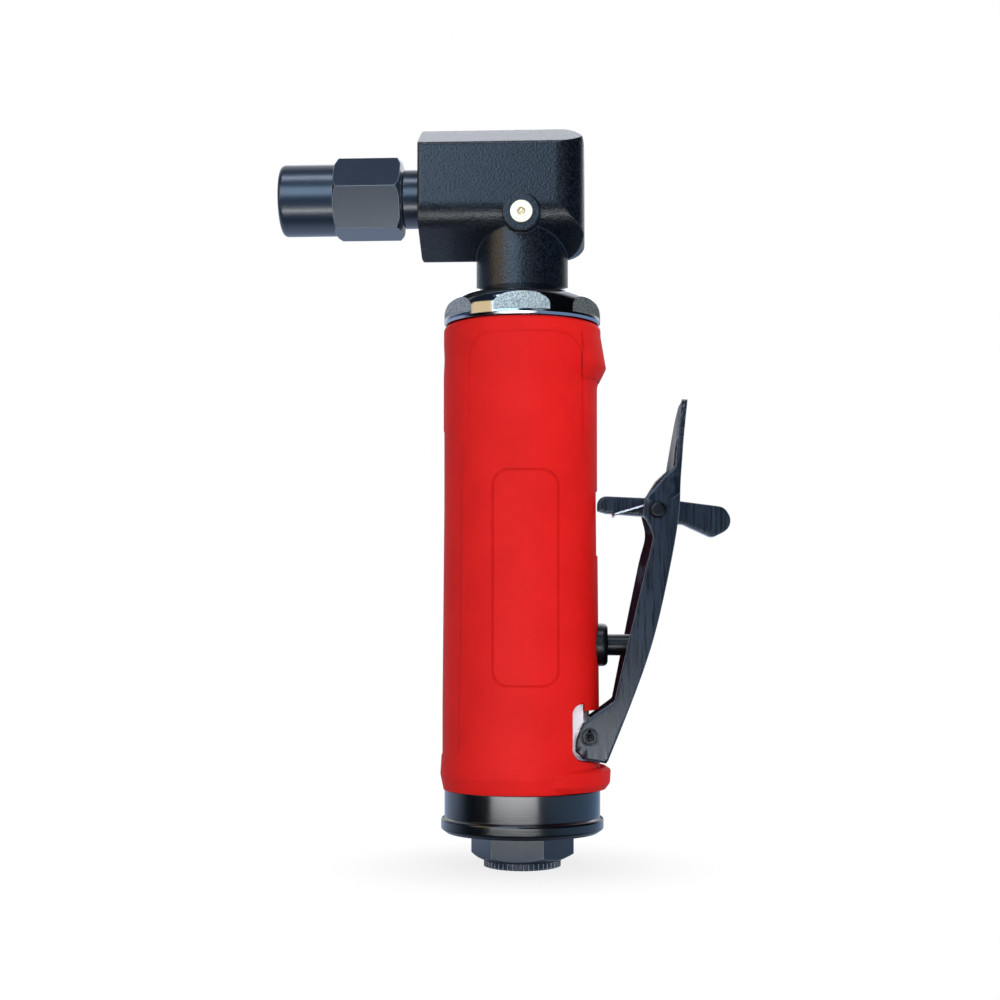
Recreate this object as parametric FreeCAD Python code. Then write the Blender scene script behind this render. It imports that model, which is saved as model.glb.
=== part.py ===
import FreeCAD, Part
import math
import os

from FreeCAD import Placement, Rotation, Vector

# Right-angle air die grinder, in millimetres.
# The origin is the centre of the air-inlet mouth, +Z runs up the handle axis, the collet points
# along -X and the throttle lever is on the +X side.
# "Reach" is a distance from the handle axis towards the collet, along the spindle axis.

# ---------------------------------------------------------------- clearances
FIT = 0.05            # between two parts that slide, turn or are assembled into each other
LOOSE = 0.3           # between parts that never touch
EPS = 0.5             # how far a cutting tool runs past the face that it opens

# ---------------------------------------------------------------- handle walls
MOTOR_BORE_R = 14.0
HOUSING_WALL = 1.7
SLEEVE_WALL = 2.75
COLLAR_WALL = 2.65
HOUSING_R = MOTOR_BORE_R + HOUSING_WALL
SLEEVE_BORE_R = HOUSING_R + FIT
SLEEVE_R = SLEEVE_BORE_R + SLEEVE_WALL
WAIST_DEPTH = 0.4          # how far the sleeve draws in under the lever's tab
GRIP_SHIFT = 0.45          # how far the gripped part lies off the axis, away from the lever
COLLAR_R = HOUSING_R + FIT + COLLAR_WALL

# ---------------------------------------------------------------- air inlet bushing
INLET_BORE_R = 5.7
INLET_BORE_DEPTH = 12.5
INLET_NOSE_WALL = 2.95
INLET_NOSE_H = 1.7
INLET_HEX_AF = 21.0
INLET_HEX_H = 6.5
INLET_HEX_TURN = 26.0      # angle of one hex corner from the front (-Y), towards +X
INLET_SHANK_WALL = 2.3
INLET_SHANK_L = 11.8
INLET_THROAT_R = 4.0
INLET_HEX_TOP = INLET_NOSE_H + INLET_HEX_H
INLET_TOP = INLET_HEX_TOP + INLET_SHANK_L
INLET_SHANK_R = INLET_BORE_R + INLET_SHANK_WALL

# ---------------------------------------------------------------- exhaust ring and muffler
RING_H = 10.0
RING_FLOOR = 1.8
RING_STEP = 0.2            # how much smaller it is than the sleeve
RIM_OUT = 0.8              # how far the bottom rim stands out
RIM_H = 3.2
MUFFLER_H = 3.8
EXHAUST_SLOTS = 8
EXHAUST_FIRST = 22.5       # angle of the first slot
EXHAUST_SLOT_W = 2.6
RING_TOP = INLET_HEX_TOP + RING_H
RING_R = SLEEVE_R - RING_STEP
HOUSING_BOTTOM = INLET_HEX_TOP + RING_FLOOR + MUFFLER_H

# ---------------------------------------------------------------- throttle valve
VALVE_CHAMBER_R = 6.0
VALVE_CHAMBER_L = 23.0
SEAT_H = 3.0
SEAT_BORE_R = 3.2
UPPER_CHAMBER_R = 5.2
UPPER_CHAMBER_L = 12.0
CHAMBER_ROOF = 6.0
DISC_R = 4.8
DISC_T = 2.5
STEM_R = 1.2
PIN_ABOVE_SEAT = 9.0
SPRING_WIRE = 0.7
SEAT_Z = INLET_TOP + VALVE_CHAMBER_L
PIN_Z = SEAT_Z + PIN_ABOVE_SEAT
CHAMBER_TOP = SEAT_Z + SEAT_H + UPPER_CHAMBER_L

# ---------------------------------------------------------------- throttle pin and its bush
PIN_R = 2.5
PIN_END_R = 1.2            # bevel of the end that the lever pushes
PIN_TIP_R = 1.2
PIN_TIP_L = 5.5
BUSH_R = 4.5
BUSH_FLANGE_R = 5.0
BUSH_FLANGE_OUT = 1.6      # how far the flange stands out of the sleeve
BUSH_L = 11.7
CLIP_T = 0.8
CLIP_OUT = 0.9
O_RING_WIRE = 1.4
O_RING_IN = 5.0            # from the bush's inner end
CLIP_R = PIN_R + CLIP_OUT
BUSH_OUTER_X = SLEEVE_R + BUSH_FLANGE_OUT
BUSH_SEAT_X = SLEEVE_R - WAIST_DEPTH - GRIP_SHIFT
BUSH_INNER_X = BUSH_OUTER_X - BUSH_L
CLIP_S = BUSH_INNER_X - CLIP_T - LOOSE
O_RING_S = BUSH_INNER_X + O_RING_IN

# ---------------------------------------------------------------- vane motor
END_PLATE_T = 8.0
CYLINDER_L = 40.0
CYLINDER_BORE_R = 12.0
CYLINDER_OFFSET = 1.4      # the bore lies off the rotor's axis by this much
ROTOR_R = 10.2
VANES = 4
VANE_T = 1.5
VANE_DEPTH = 5.6
CLAMP_RING_L = 7.5
CLAMP_RING_WALL = 2.2
DRIVE_HEX_AF = 4.4
DRIVE_HEX_L = 8.0
DOWEL_R = 0.9
DOWEL_HALF_L = 3.0
DOWEL_AT = (MOTOR_BORE_R - 1.6, 0)
PORTS = 6                  # outlets in the cylinder's wall, on the side away from the lever
PORT_H = 1.8
PORT_W = 8.0
CHANNEL_W = 10.0           # channel in the housing that gathers their air
FEED_X = 3.0               # air way from the valve to the motor
FEED_R = 2.0
EXHAUST_WAY_R = 1.7        # drilled ways from the channel down to the exhaust ring
EXHAUST_WAY_AT = MOTOR_BORE_R - 2.2
EXHAUST_WAYS = (130, 165, 195, 230)
MOTOR_FLOOR = CHAMBER_TOP + CHAMBER_ROOF
REAR_PLATE_TOP = MOTOR_FLOOR + END_PLATE_T
CYLINDER_TOP = REAR_PLATE_TOP + CYLINDER_L
FRONT_PLATE_TOP = CYLINDER_TOP + END_PLATE_T

# ---------------------------------------------------------------- collar, flange and neck
SPIGOT_L = 3.5
COLLAR_GAP = 0.2
COLLAR_OVER_SLEEVE = 4.0   # how far the housing's thread stands out of the sleeve
FLANGE_T = 1.6
NECK_R = 10.8
COLLAR_FLAT_COUNT = 6
COLLAR_FLAT_DEPTH = 1.2
COLLAR_FLAT_TURN = 2.0
COLLAR_FOOT = 1.2          # round rim left below the flats
SPIGOT_BOTTOM = FRONT_PLATE_TOP + CLAMP_RING_L
HOUSING_TOP = SPIGOT_BOTTOM + SPIGOT_L
SLEEVE_TOP = HOUSING_TOP - COLLAR_OVER_SLEEVE
SLEEVE_BOTTOM = RING_TOP
COLLAR_BOTTOM = SLEEVE_TOP + COLLAR_GAP
FLANGE_TOP = HOUSING_TOP + FLANGE_T
COLLAR_SLOPE = 3.1         # how far its top falls from the neck to the outside
COLLAR_SHOULDER_R = 4.6
COLLAR_LIP = 3.0
COLLAR_TOP = FLANGE_TOP + COLLAR_LIP

# ---------------------------------------------------------------- shaft bearings: bore, outside, width
SMALL_BORE_R, SMALL_R, SMALL_W = 4.0, 8.0, 5.0     # both on the rotor, both on the pinion
FRONT_BORE_R, FRONT_R, FRONT_W = 6.0, 10.5, 5.0    # spindle, collet side
REAR_BORE_R, REAR_R, REAR_W = 3.0, 7.5, 5.0        # spindle, back of the head
SHIELD_T = 0.3
BEARING_GAP = 0.3          # share of the section's height that the balls' space takes

# ---------------------------------------------------------------- bevel gears
MODULE = 1.0
PINION_TEETH = 13
GEAR_TEETH = 15
FACE_WIDTH = 3.2
BACKLASH = 0.12
PRESSURE_ANGLE = math.radians(20)
PINION_HUB_L = 2.9
GEAR_HUB_L = 4.6
PINION_CONE = math.atan2(PINION_TEETH, GEAR_TEETH)
GEAR_CONE = math.pi / 2 - PINION_CONE
PINION_PITCH_R = MODULE * PINION_TEETH / 2
GEAR_PITCH_R = MODULE * GEAR_TEETH / 2
CONE_L = math.hypot(PINION_PITCH_R, GEAR_PITCH_R)
DEDENDUM = 1.25 * MODULE

# ---------------------------------------------------------------- pinion shaft and neck
LOCK_RING_H = 2.4
PINION_SPACER_L = 4.6
LOWER_BEARING_Z = HOUSING_TOP + 1.0
UPPER_BEARING_Z = LOWER_BEARING_Z + SMALL_W + PINION_SPACER_L
PINION_SHOULDER = UPPER_BEARING_Z + SMALL_W
PINION_BACK = GEAR_PITCH_R + DEDENDUM * math.sin(PINION_CONE)
SPINDLE_Z = PINION_SHOULDER + PINION_HUB_L + PINION_BACK
PINION_TIP_R = PINION_PITCH_R + MODULE * math.cos(PINION_CONE)
GEAR_TIP_R = GEAR_PITCH_R + MODULE * math.cos(GEAR_CONE)
PINION_HUB_R = PINION_PITCH_R - DEDENDUM * math.cos(PINION_CONE) - 0.2
GEAR_HUB_R = GEAR_PITCH_R - DEDENDUM * math.cos(GEAR_CONE) - 0.2
PINION_LOW = LOWER_BEARING_Z - 2.6

# ---------------------------------------------------------------- angle head
HEAD_WALL = 2.5            # beside the front bearing
HEAD_ROOF_WALL = 4.2       # over the front bearing
HEAD_ROOF_ANGLE = 26.2     # slope of the two facets that make the roof
HEAD_FACET_WALL = 2.5      # under the front bearing
HEAD_FACET_ANGLE = 31.6    # slope of the two underside facets
HEAD_REAR_WALL = 1.95
HEAD_NOSE_L = 3.05         # from the front bearing to the head's front face
HEAD_RIDGE_R = 2.0
HEAD_EAVES_R = 1.0
HEAD_CHINE_R = 6.8
HEAD_KEEL_R = 1.0
HEAD_CORNER_R = 6.5
HEAD_REAR_TOP_R = 6.2
HEAD_REAR_BOTTOM_R = 5.5
HEAD_HALF_WIDTH = FRONT_R + HEAD_WALL
GEAR_BACK = PINION_PITCH_R + DEDENDUM * math.sin(GEAR_CONE) + GEAR_HUB_L
SPINDLE_SPACER_L = 3.6
FRONT_BEARING_S = GEAR_BACK + SPINDLE_SPACER_L
FRONT_BEARING_END = FRONT_BEARING_S + FRONT_W
HEAD_FRONT = FRONT_BEARING_END + HEAD_NOSE_L
REAR_BEARING_S = PINION_TIP_R + 0.5
HEAD_REAR = REAR_BEARING_S + REAR_W + HEAD_REAR_WALL

# ---------------------------------------------------------------- grease fitting
FITTING_BOSS_R = 4.3
FITTING_DROP = 6.4         # below the spindle axis
FITTING_SHIFT = -0.4       # towards the collet
FITTING_BOSS_OUT = 0.5     # past the head's side face
FITTING_R = 2.55
FITTING_FACE_H = 0.6
FITTING_SHANK_R = 2.0
FITTING_WAY_R = 0.9
FITTING_DEEP = -HEAD_HALF_WIDTH + 3.5

# ---------------------------------------------------------------- spindle, collet and nut
SPINDLE_R = 3.5
SPINDLE_NECK_R = 6.9
SPINDLE_NECK_L = 4.4       # that shows between the head and the nut
THREAD_R = 6.2
THREAD_L = 14.3
COLLET_BORE_R = 3.175
COLLET_STEM_R = 4.5
COLLET_BODY_R = 5.5
COLLET_STEM_L = 8.3
COLLET_SEAT_L = 2.6
COLLET_BODY_L = 5.1
COLLET_NOSE_L = 7.5
COLLET_NOSE_R = 4.1
COLLET_SLIT_COUNT = 4
COLLET_SLIT_W = 0.8
COLLET_BACK_GAP = 3.0
NUT_AF = 17.0
NUT_HEX_L = 15.65
NUT_NOSE_R = 8.45
NUT_NOSE_L = 13.1
NUT_END_R = 1.2
NUT_TURN = 36.0            # angle of one hex corner
KEY_W = 2.0
KEY_DEPTH = 1.0            # into the spindle, and as much into the gear
GEAR_CLIP_S = 4.1
GEAR_CLIP_T = 0.8
SEAL_R = (SPINDLE_NECK_R + FRONT_R) / 2 - 0.2
THREAD_END = HEAD_FRONT + SPINDLE_NECK_L + THREAD_L
COLLET_SEAT = THREAD_END - COLLET_SEAT_L
COLLET_BACK = COLLET_SEAT - COLLET_STEM_L
COLLET_FRONT = COLLET_SEAT + COLLET_SEAT_L + COLLET_BODY_L + COLLET_NOSE_L
NUT_BACK = HEAD_FRONT + SPINDLE_NECK_L + LOOSE
NUT_NOSE_S = NUT_BACK + NUT_HEX_L
NUT_FRONT = NUT_NOSE_S + NUT_NOSE_L

# ---------------------------------------------------------------- throttle lever and its hinge
PIVOT_OUT = 0.2            # hinge axis outside the housing's surface
PIVOT_BELOW_SEAT = 12.0
LEVER_W = 18.0
LEVER_SHEET = 1.3
HINGE_PIN_R = 1.6
HINGE_PIN_HOLE_R = 1.0
LUG_R = 3.6
LUG_HALF_W = LEVER_W / 2 - LEVER_SHEET - LOOSE
PIVOT_X = HOUSING_R + PIVOT_OUT
PIVOT_Z = SEAT_Z - PIVOT_BELOW_SEAT
# Back of the lever, as seen from the side, from its heel to the tip of its tab, from the hinge.
LEVER_BACK = [(4.2, -5.5), (9.8, 8.4), (14.6, 22.3), (17.9, 36.2), (20.4, 50.1), (21.6, 63.9), (22.7, 77.8)]
# One of its side flanges, likewise: the ear at the hinge, the arm, the lobe round the latch pin.
LEVER_FLANGE = [
    (4.2, -5.5), (3.7, -6.1), (-1.5, -5.2, 1.5), (-3.3, -3.4, 1.0), (-3.2, -0.8, 2.5), (-1.6, 3.2, 2.0),
    (0.9, 5.0, 3.0), (5.2, 8.2, 1.0), (8.9, 26.9, 60.0), (11.9, 41.5, 60.0), (13.5, 47.0, 8.0),
    (12.3, 51.5, 4.0), (12.8, 54.9, 0.8), (20.9, 63.2), (19.8, 50.1), (17.3, 36.2, 80.0),
    (14.0, 22.3, 80.0), (9.2, 8.4),
]
TAB_CORNER_R = 5.0
EAR_SWEEP = 4.8            # room for the ears round the hinge
EAR_ROOM_TOP = 7.4         # top of the flats between the ears, above the hinge

# ---------------------------------------------------------------- safety latch
LATCH_X = 15.7             # latch pin, from the lever's hinge
LATCH_Z = 52.2
LATCH_W = 5.0
LATCH_PIN_R = 1.5
LATCH_HEAD_R = 1.9
LATCH_HEAD_H = 1.0
LATCH_HUB_R = 3.0
LATCH_ARM_R = 2.2          # rounding of the arm's upper tip
LATCH_TIP_X = SLEEVE_R - WAIST_DEPTH - GRIP_SHIFT - 0.05
LATCH_SLOT_LOW = 3.7       # the web's slot, below and above the latch pin
LATCH_SLOT_HIGH = 17.6
LATCH_SLOT_W = 6.2
LATCH_POCKET_W = 6.6       # the pocket in the sleeve that the arm's tip swings through
LATCH_POCKET_LOW = 10.3    # below and above the latch pin
LATCH_POCKET_HIGH = 5.0
LATCH_POCKET_FLOOR = 0.25  # left of the sleeve's wall under the pocket

# ---------------------------------------------------------------- sleeve surface
WAIST_LOW = 66.0           # where the waist starts, above the sleeve's bottom
BELLY = 20.0               # where the sleeve starts to narrow towards the waist, likewise
BAND_H = 12.0              # round band under the collar, on the axis
PAD_OUT = 1.3
PAD_TOP = 0.7              # below the sleeve's top
PAD_STEP = 10.0
PAD_FOOT = 13.2
PAD_HALF_ANGLE = 40.0
FRAME_W = 15.3
FRAME_LOW = 24.4           # above the sleeve's bottom
FRAME_HIGH = 73.9
FRAME_R = 3.8
FRAME_LINE = 0.45
FRAME_DEPTH = 0.3
FRAME_SHIFT = 1.4
LIP_OUT = 2.3              # shelf at the foot, under the lever's heel
LIP_LOW = 0.2              # above the sleeve's bottom
LIP_HIGH = 5.4
LIP_R = 17.5               # of the shelf's round edge, which runs into the sleeve at its sides
SKIRT_OUT = 0.35           # the foot's slight flare
SKIRT_H = 9.0
PANEL_DEPTH = 0.15         # shallow panels in front, behind and on the side away from the lever
PANEL_W = 26.0
PANEL_H = 24.0             # the waist runs its lower end out
PANEL_TOP = 3.6            # below the sleeve's top
PANEL_R = 5.5
SIDE_PANEL_W = 25.6
SIDE_PANEL_TOP = 24.0
SIDE_PANEL_LOW = 8.0       # above the sleeve's bottom
SIDE_PANEL_PEAK = 4.0


# ================================================================ shape helpers
def outline(corners, place):
    """A closed wire through corners (u, v) or (u, v, size), drawn on a plane by place(u, v).

    A positive size rounds the corner by that radius, and a negative one cuts it off by that much.
    """
    points = [Vector(c[0], c[1], 0) for c in corners]
    radii = [c[2] if len(c) > 2 else 0 for c in corners]
    count = len(points)
    ends = []
    for i, point in enumerate(points):
        back = (points[i - 1] - point).normalize()
        ahead = (points[(i + 1) % count] - point).normalize()
        if radii[i] == 0:
            ends.append((point, None, point))
            continue
        if radii[i] < 0:
            ends.append((point - back * radii[i], None, point - ahead * radii[i]))
            continue
        half = back.getAngle(ahead) / 2
        reach = radii[i] / math.tan(half)
        middle = (back + ahead).normalize() * (radii[i] / math.sin(half) - radii[i])
        ends.append((point + back * reach, point + middle, point + ahead * reach))
    edges = []
    for i, (start, middle, end) in enumerate(ends):
        if middle:
            edges.append(Part.Arc(place(*start[:2]), place(*middle[:2]), place(*end[:2])).toShape())
        elif start != end:
            edges.append(Part.makeLine(place(*start[:2]), place(*end[:2])))
        following = ends[(i + 1) % count][0]
        if end.distanceToPoint(following) > 1e-6:
            edges.append(Part.makeLine(place(*end[:2]), place(*following[:2])))
    return Part.Wire(edges)


def side_plane(y):
    """Drawing on the plane seen from the front: (x, z) at depth y."""
    return lambda u, v: Vector(u, y, v)


def end_plane(x):
    """Drawing on the plane seen along the spindle: (y, z) at x."""
    return lambda u, v: Vector(x, u, v)


def plan_plane(z):
    """Drawing on the plane seen from above: (x, y) at height z."""
    return lambda u, v: Vector(u, v, z)


def prism(corners, place, along):
    """The corners' outline, made solid along a vector."""
    return Part.Face(outline(corners, place)).extrude(along)


def turned(corners):
    """A solid turned about the Z axis from corners (radius, height) or (radius, height, size)."""
    return Part.Face(outline(corners, side_plane(0))).revolve(Vector(0, 0, 0), Vector(0, 0, 1), 360)


def rod(radius, low, high, x=0.0, y=0.0):
    """A round rod parallel to Z."""
    return Part.makeCylinder(radius, high - low, Vector(x, y, low))


def tube(outer, inner, low, high):
    """A round tube about Z."""
    return rod(outer, low, high).cut(rod(inner, low - EPS, high + EPS))


def cross_rod(radius, x, z, low, high):
    """A round rod parallel to Y."""
    return Part.makeCylinder(radius, high - low, Vector(x, low, z), Vector(0, 1, 0))


def long_rod(radius, low, high, z):
    """A round rod parallel to X, crossing the handle axis at height z."""
    return Part.makeCylinder(radius, high - low, Vector(low, 0, z), Vector(1, 0, 0))


def box(low, high):
    """A box from its lowest to its highest corner."""
    size = [b - a for a, b in zip(low, high)]
    return Part.makeBox(size[0], size[1], size[2], Vector(*low))


def hexagon(across_flats, low, high, corner_angle):
    """A hexagonal bar about Z with one corner at an angle from +X."""
    radius = across_flats / math.sqrt(3)
    angles = [math.radians(corner_angle + 60 * i) for i in range(6)]
    corners = [(radius * math.cos(a), radius * math.sin(a)) for a in angles]
    return prism(corners, plan_plane(low), Vector(0, 0, high - low))


def ring_of(shape, count, first=0.0):
    """Copies of a shape at equal angles about Z."""
    copies = []
    for i in range(count):
        copy = shape.copy()
        copy.rotate(Vector(0, 0, 0), Vector(0, 0, 1), first + 360 * i / count)
        copies.append(copy)
    return copies


def moved(shape, placement):
    """A copy of a shape with a placement applied to it."""
    return shape.transformed(placement.toMatrix(), True)


def on_spindle(shape):
    """A shape built about Z, with reach as its height, laid along the spindle axis."""
    return moved(shape, Placement(Vector(0, 0, SPINDLE_Z), Rotation(Vector(0, 1, 0), -90)))


def coil(low_r, high_r, height, turns, wire):
    """A spring of square wire about Z, standing on z = 0."""
    pitch = height / turns
    spread = math.degrees(math.atan2(high_r - low_r, height))
    helix = Part.makeHelix(pitch, height, low_r, spread)
    half = wire / 2
    corners = [(low_r - half, 0), (low_r, half), (low_r + half, 0), (low_r, -half)]
    section = outline(corners, side_plane(0))
    return Part.Wire(helix).makePipeShell([section], True, True)


# ================================================================ bearings
def bearing_rings(bore, outer, width):
    """Outer ring with its two shields and inner ring of a ball bearing standing on z = 0."""
    middle = (bore + outer) / 2
    land = BEARING_GAP * (outer - bore) / 2
    shield_r = middle - land + FIT
    outer_ring = turned([
        (shield_r, 0), (outer, 0), (outer, width), (shield_r, width), (shield_r, width - SHIELD_T),
        (middle + land, width - SHIELD_T), (middle + land, SHIELD_T), (shield_r, SHIELD_T),
    ])
    return outer_ring, tube(middle - land, bore, 0, width)


def bearing_at(bore, outer, width, heights):
    """The outer rings and the inner rings of like bearings about Z, at several heights."""
    rings = bearing_rings(bore, outer, width)
    result = []
    for ring in rings:
        result.append([moved(ring, Placement(Vector(0, 0, z), Rotation())) for z in heights])
    return result


# ================================================================ bevel gears
def involute(angle):
    return math.tan(angle) - angle


def gap_half_angle(radius, teeth):
    """Half the angle of a tooth space at a radius of the equivalent spur gear."""
    pitch_r = MODULE * teeth / 2
    base_r = pitch_r * math.cos(PRESSURE_ANGLE)
    tooth = (math.pi / 2 * MODULE - BACKLASH / 2) / (2 * pitch_r)
    slope = math.acos(base_r / max(radius, base_r))
    return math.pi / teeth - (tooth + involute(PRESSURE_ANGLE) - involute(slope))


def tooth_gap(teeth, cone):
    """The space between two teeth, as a solid that narrows towards the cones' common apex."""
    equivalent = teeth / math.cos(cone)
    back_r = MODULE * equivalent / 2
    levels = [-DEDENDUM, -0.6 * MODULE, 0.0, 0.55 * MODULE, 1.3 * MODULE]
    flank = []
    for level in levels:
        radius = back_r + level
        half = gap_half_angle(radius, equivalent)
        flank.append((radius * math.sin(half), radius * math.cos(half) - back_r))
    pitch = Vector(CONE_L * math.sin(cone), 0, -CONE_L * math.cos(cone))
    outward = Vector(math.cos(cone), 0, math.sin(cone))
    wires = []
    for scale in (1.15, 0.55):
        right = [(pitch + outward * n + Vector(0, t, 0)) * scale for t, n in flank]
        left = [Vector(p.x, -p.y, p.z) for p in right]
        curves = []
        for side in (right, left):
            curve = Part.BSplineCurve()
            curve.interpolate(side)
            curves.append(curve.toShape())
        top = Part.makeLine(right[-1], left[-1])
        bottom = Part.makeLine(left[0], right[0])
        wires.append(Part.Wire([curves[0], top, curves[1], bottom]))
    return Part.makeLoft(wires, True, True)


def bevel_gear(teeth, cone, hub_r, hub_l, bore):
    """A straight bevel gear with its apex at the origin, its cone opening towards -Z."""
    pitch = (CONE_L * math.sin(cone), -CONE_L * math.cos(cone))
    toe = (CONE_L - FACE_WIDTH) / CONE_L
    tip = (pitch[0] + MODULE * math.cos(cone), pitch[1] + MODULE * math.sin(cone))
    root = (pitch[0] - DEDENDUM * math.cos(cone), pitch[1] - DEDENDUM * math.sin(cone))
    floor = root[1] - hub_l
    corners = [
        (bore, root[1] * toe),
        (root[0] * toe, root[1] * toe),
        (tip[0] * toe, tip[1] * toe),
        tip,
        root,
        (hub_r, root[1]),
        (hub_r, floor),
        (bore, floor),
    ]
    gaps = ring_of(tooth_gap(teeth, cone), teeth)
    return turned(corners).cut(gaps)


# ================================================================ air inlet and exhaust
def inlet_bushing():
    nose_r = INLET_BORE_R + INLET_NOSE_WALL
    bar = hexagon(INLET_HEX_AF, INLET_NOSE_H, INLET_HEX_TOP, INLET_HEX_TURN - 90)
    corner_r = INLET_HEX_AF / math.sqrt(3)
    chamfer = turned([
        (0, INLET_NOSE_H), (nose_r + 0.6, INLET_NOSE_H), (corner_r + 0.1, INLET_NOSE_H + 1.5),
        (corner_r + 0.1, INLET_HEX_TOP), (0, INLET_HEX_TOP),
    ])
    body = turned([
        (0, 0), (nose_r, 0, -0.4), (nose_r, INLET_HEX_TOP - EPS), (INLET_SHANK_R, INLET_HEX_TOP - EPS),
        (INLET_SHANK_R, INLET_TOP, -0.5), (0, INLET_TOP),
    ])
    bore = rod(INLET_BORE_R, -EPS, INLET_BORE_DEPTH)
    throat = rod(INLET_THROAT_R, 0, INLET_TOP + EPS)
    return bar.common(chamfer).fuse(body).cut([bore, throat]).removeSplitter()


def inlet_screen():
    """Perforated disc that rests on the end of the bushing's shank."""
    disc = rod(VALVE_CHAMBER_R - FIT, INLET_TOP, INLET_TOP + 0.6)
    hole = rod(0.9, INLET_TOP - EPS, INLET_TOP + 1, 2.4)
    holes = ring_of(hole, 6) + [rod(0.9, INLET_TOP - EPS, INLET_TOP + 1)]
    return disc.cut(holes)


def exhaust_ring():
    """Cup that the bushing's hex holds against the handle, with slots round the bushing."""
    rim_r = RING_R + RIM_OUT
    low = INLET_HEX_TOP
    shell = turned([
        (INLET_SHANK_R + FIT, low), (rim_r - 1.2, low), (rim_r, low + 0.9, 0.5), (rim_r, low + RIM_H, 0.8),
        (RING_R, low + RIM_H + 0.5), (RING_R, RING_TOP), (HOUSING_R + FIT, RING_TOP),
        (HOUSING_R + FIT, low + RING_FLOOR), (INLET_SHANK_R + FIT, low + RING_FLOOR),
    ])
    inner = INLET_HEX_AF / math.sqrt(3) + 0.4
    outer = HOUSING_R - 0.6
    slot = box((inner, -EXHAUST_SLOT_W / 2, low - EPS), (outer, EXHAUST_SLOT_W / 2, low + RING_FLOOR + EPS))
    return shell.cut(ring_of(slot, EXHAUST_SLOTS, EXHAUST_FIRST))


def muffler_ring():
    low = INLET_HEX_TOP + RING_FLOOR
    return tube(HOUSING_R - LOOSE, INLET_SHANK_R + LOOSE, low, low + MUFFLER_H)


# ================================================================ housing
def valve_bore():
    """The stepped air way from the inlet thread to the motor's floor, and the throttle pin's bore."""
    seat_top = SEAT_Z + SEAT_H
    return [
        rod(INLET_SHANK_R + FIT, HOUSING_BOTTOM - EPS, INLET_TOP),
        rod(VALVE_CHAMBER_R, INLET_TOP - EPS, seat_top),
        rod(UPPER_CHAMBER_R, seat_top - EPS, CHAMBER_TOP),
        rod(FEED_R, CHAMBER_TOP - EPS, MOTOR_FLOOR + EPS, FEED_X),
        long_rod(CLIP_R + LOOSE, UPPER_CHAMBER_R - 2, BUSH_INNER_X + EPS, PIN_Z),
        long_rod(BUSH_R + FIT, BUSH_INNER_X, HOUSING_R + EPS, PIN_Z),
    ]


def motor_housing():
    body = rod(HOUSING_R, HOUSING_BOTTOM, HOUSING_TOP)
    lug = cross_rod(LUG_R, PIVOT_X, PIVOT_Z, -LUG_HALF_W, LUG_HALF_W)
    inner = PIVOT_X - LUG_R - 4
    lug_root = box((inner, -LUG_HALF_W, PIVOT_Z - LUG_R), (PIVOT_X, LUG_HALF_W, PIVOT_Z + LUG_R))
    ear_low = PIVOT_Z - EAR_SWEEP
    ear_high = PIVOT_Z + EAR_ROOM_TOP
    land = box((inner, -LUG_HALF_W, PIVOT_Z), (PIVOT_X - 1.5, LUG_HALF_W, ear_high))
    body = body.fuse([lug, lug_root, land])
    cuts = valve_bore()
    for side in (-1, 1):
        near, far = sorted((side * LUG_HALF_W, side * HOUSING_R))
        cuts.append(box((PIVOT_X - EAR_SWEEP, near, ear_low), (HOUSING_R + EPS, far, ear_high)))
    cuts.append(cross_rod(HINGE_PIN_R + FIT, PIVOT_X, PIVOT_Z, -HOUSING_R, HOUSING_R))
    cuts.append(rod(MOTOR_BORE_R, MOTOR_FLOOR, HOUSING_TOP + EPS))
    exhaust = rod(EXHAUST_WAY_R, HOUSING_BOTTOM - EPS, MOTOR_FLOOR + EPS, EXHAUST_WAY_AT)
    for angle in EXHAUST_WAYS:
        cuts.append(ring_of(exhaust, 1, angle)[0])
    channel_r = MOTOR_BORE_R + 0.5 * HOUSING_WALL
    channel = tube(channel_r, MOTOR_BORE_R - 2, MOTOR_FLOOR, CYLINDER_TOP - 2)
    half = CHANNEL_W / 2
    cuts.append(channel.common(box((-HOUSING_R, -half, MOTOR_FLOOR - 1), (-half, half, CYLINDER_TOP))))
    return body.cut(cuts).removeSplitter()


def clamp_collar():
    """Domed hexagonal ring nut that screws over the housing and clamps the head's flange."""
    top_r = NECK_R + FIT + 0.1
    bore = HOUSING_R + FIT
    body = turned([
        (bore, COLLAR_BOTTOM), (COLLAR_R - 0.3, COLLAR_BOTTOM), (COLLAR_R, COLLAR_BOTTOM + 0.6),
        (COLLAR_R, COLLAR_TOP - COLLAR_SLOPE, COLLAR_SHOULDER_R), (top_r, COLLAR_TOP),
        (top_r, FLANGE_TOP + FIT), (bore, FLANGE_TOP + FIT),
    ])
    flat_r = COLLAR_R - COLLAR_FLAT_DEPTH
    flat = box((flat_r, -COLLAR_R, COLLAR_BOTTOM + COLLAR_FOOT), (COLLAR_R + 2, COLLAR_R, COLLAR_TOP + 1))
    return body.cut(ring_of(flat, COLLAR_FLAT_COUNT, COLLAR_FLAT_TURN - 90))


# ================================================================ grip sleeve
def lever_cut_out():
    """Opening in the sleeve for the lever's ears, as seen from the front, through the +X side."""
    left = PIVOT_X - 3.9
    right = SLEEVE_R + 4
    tab = PIVOT_X - 1.2
    corners = [
        (left, PIVOT_Z - 5.3, 3.0), (left, PIVOT_Z + 7.8, 2.6), (tab, PIVOT_Z + 7.8), (tab, PIVOT_Z + 6.0),
        (right, PIVOT_Z + 6.0), (right, PIVOT_Z - 6.9), (PIVOT_X + 4.0, PIVOT_Z - 6.6),
    ]
    return prism(corners, side_plane(-SLEEVE_R - 1), Vector(0, 2 * SLEEVE_R + 2, 0))


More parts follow.
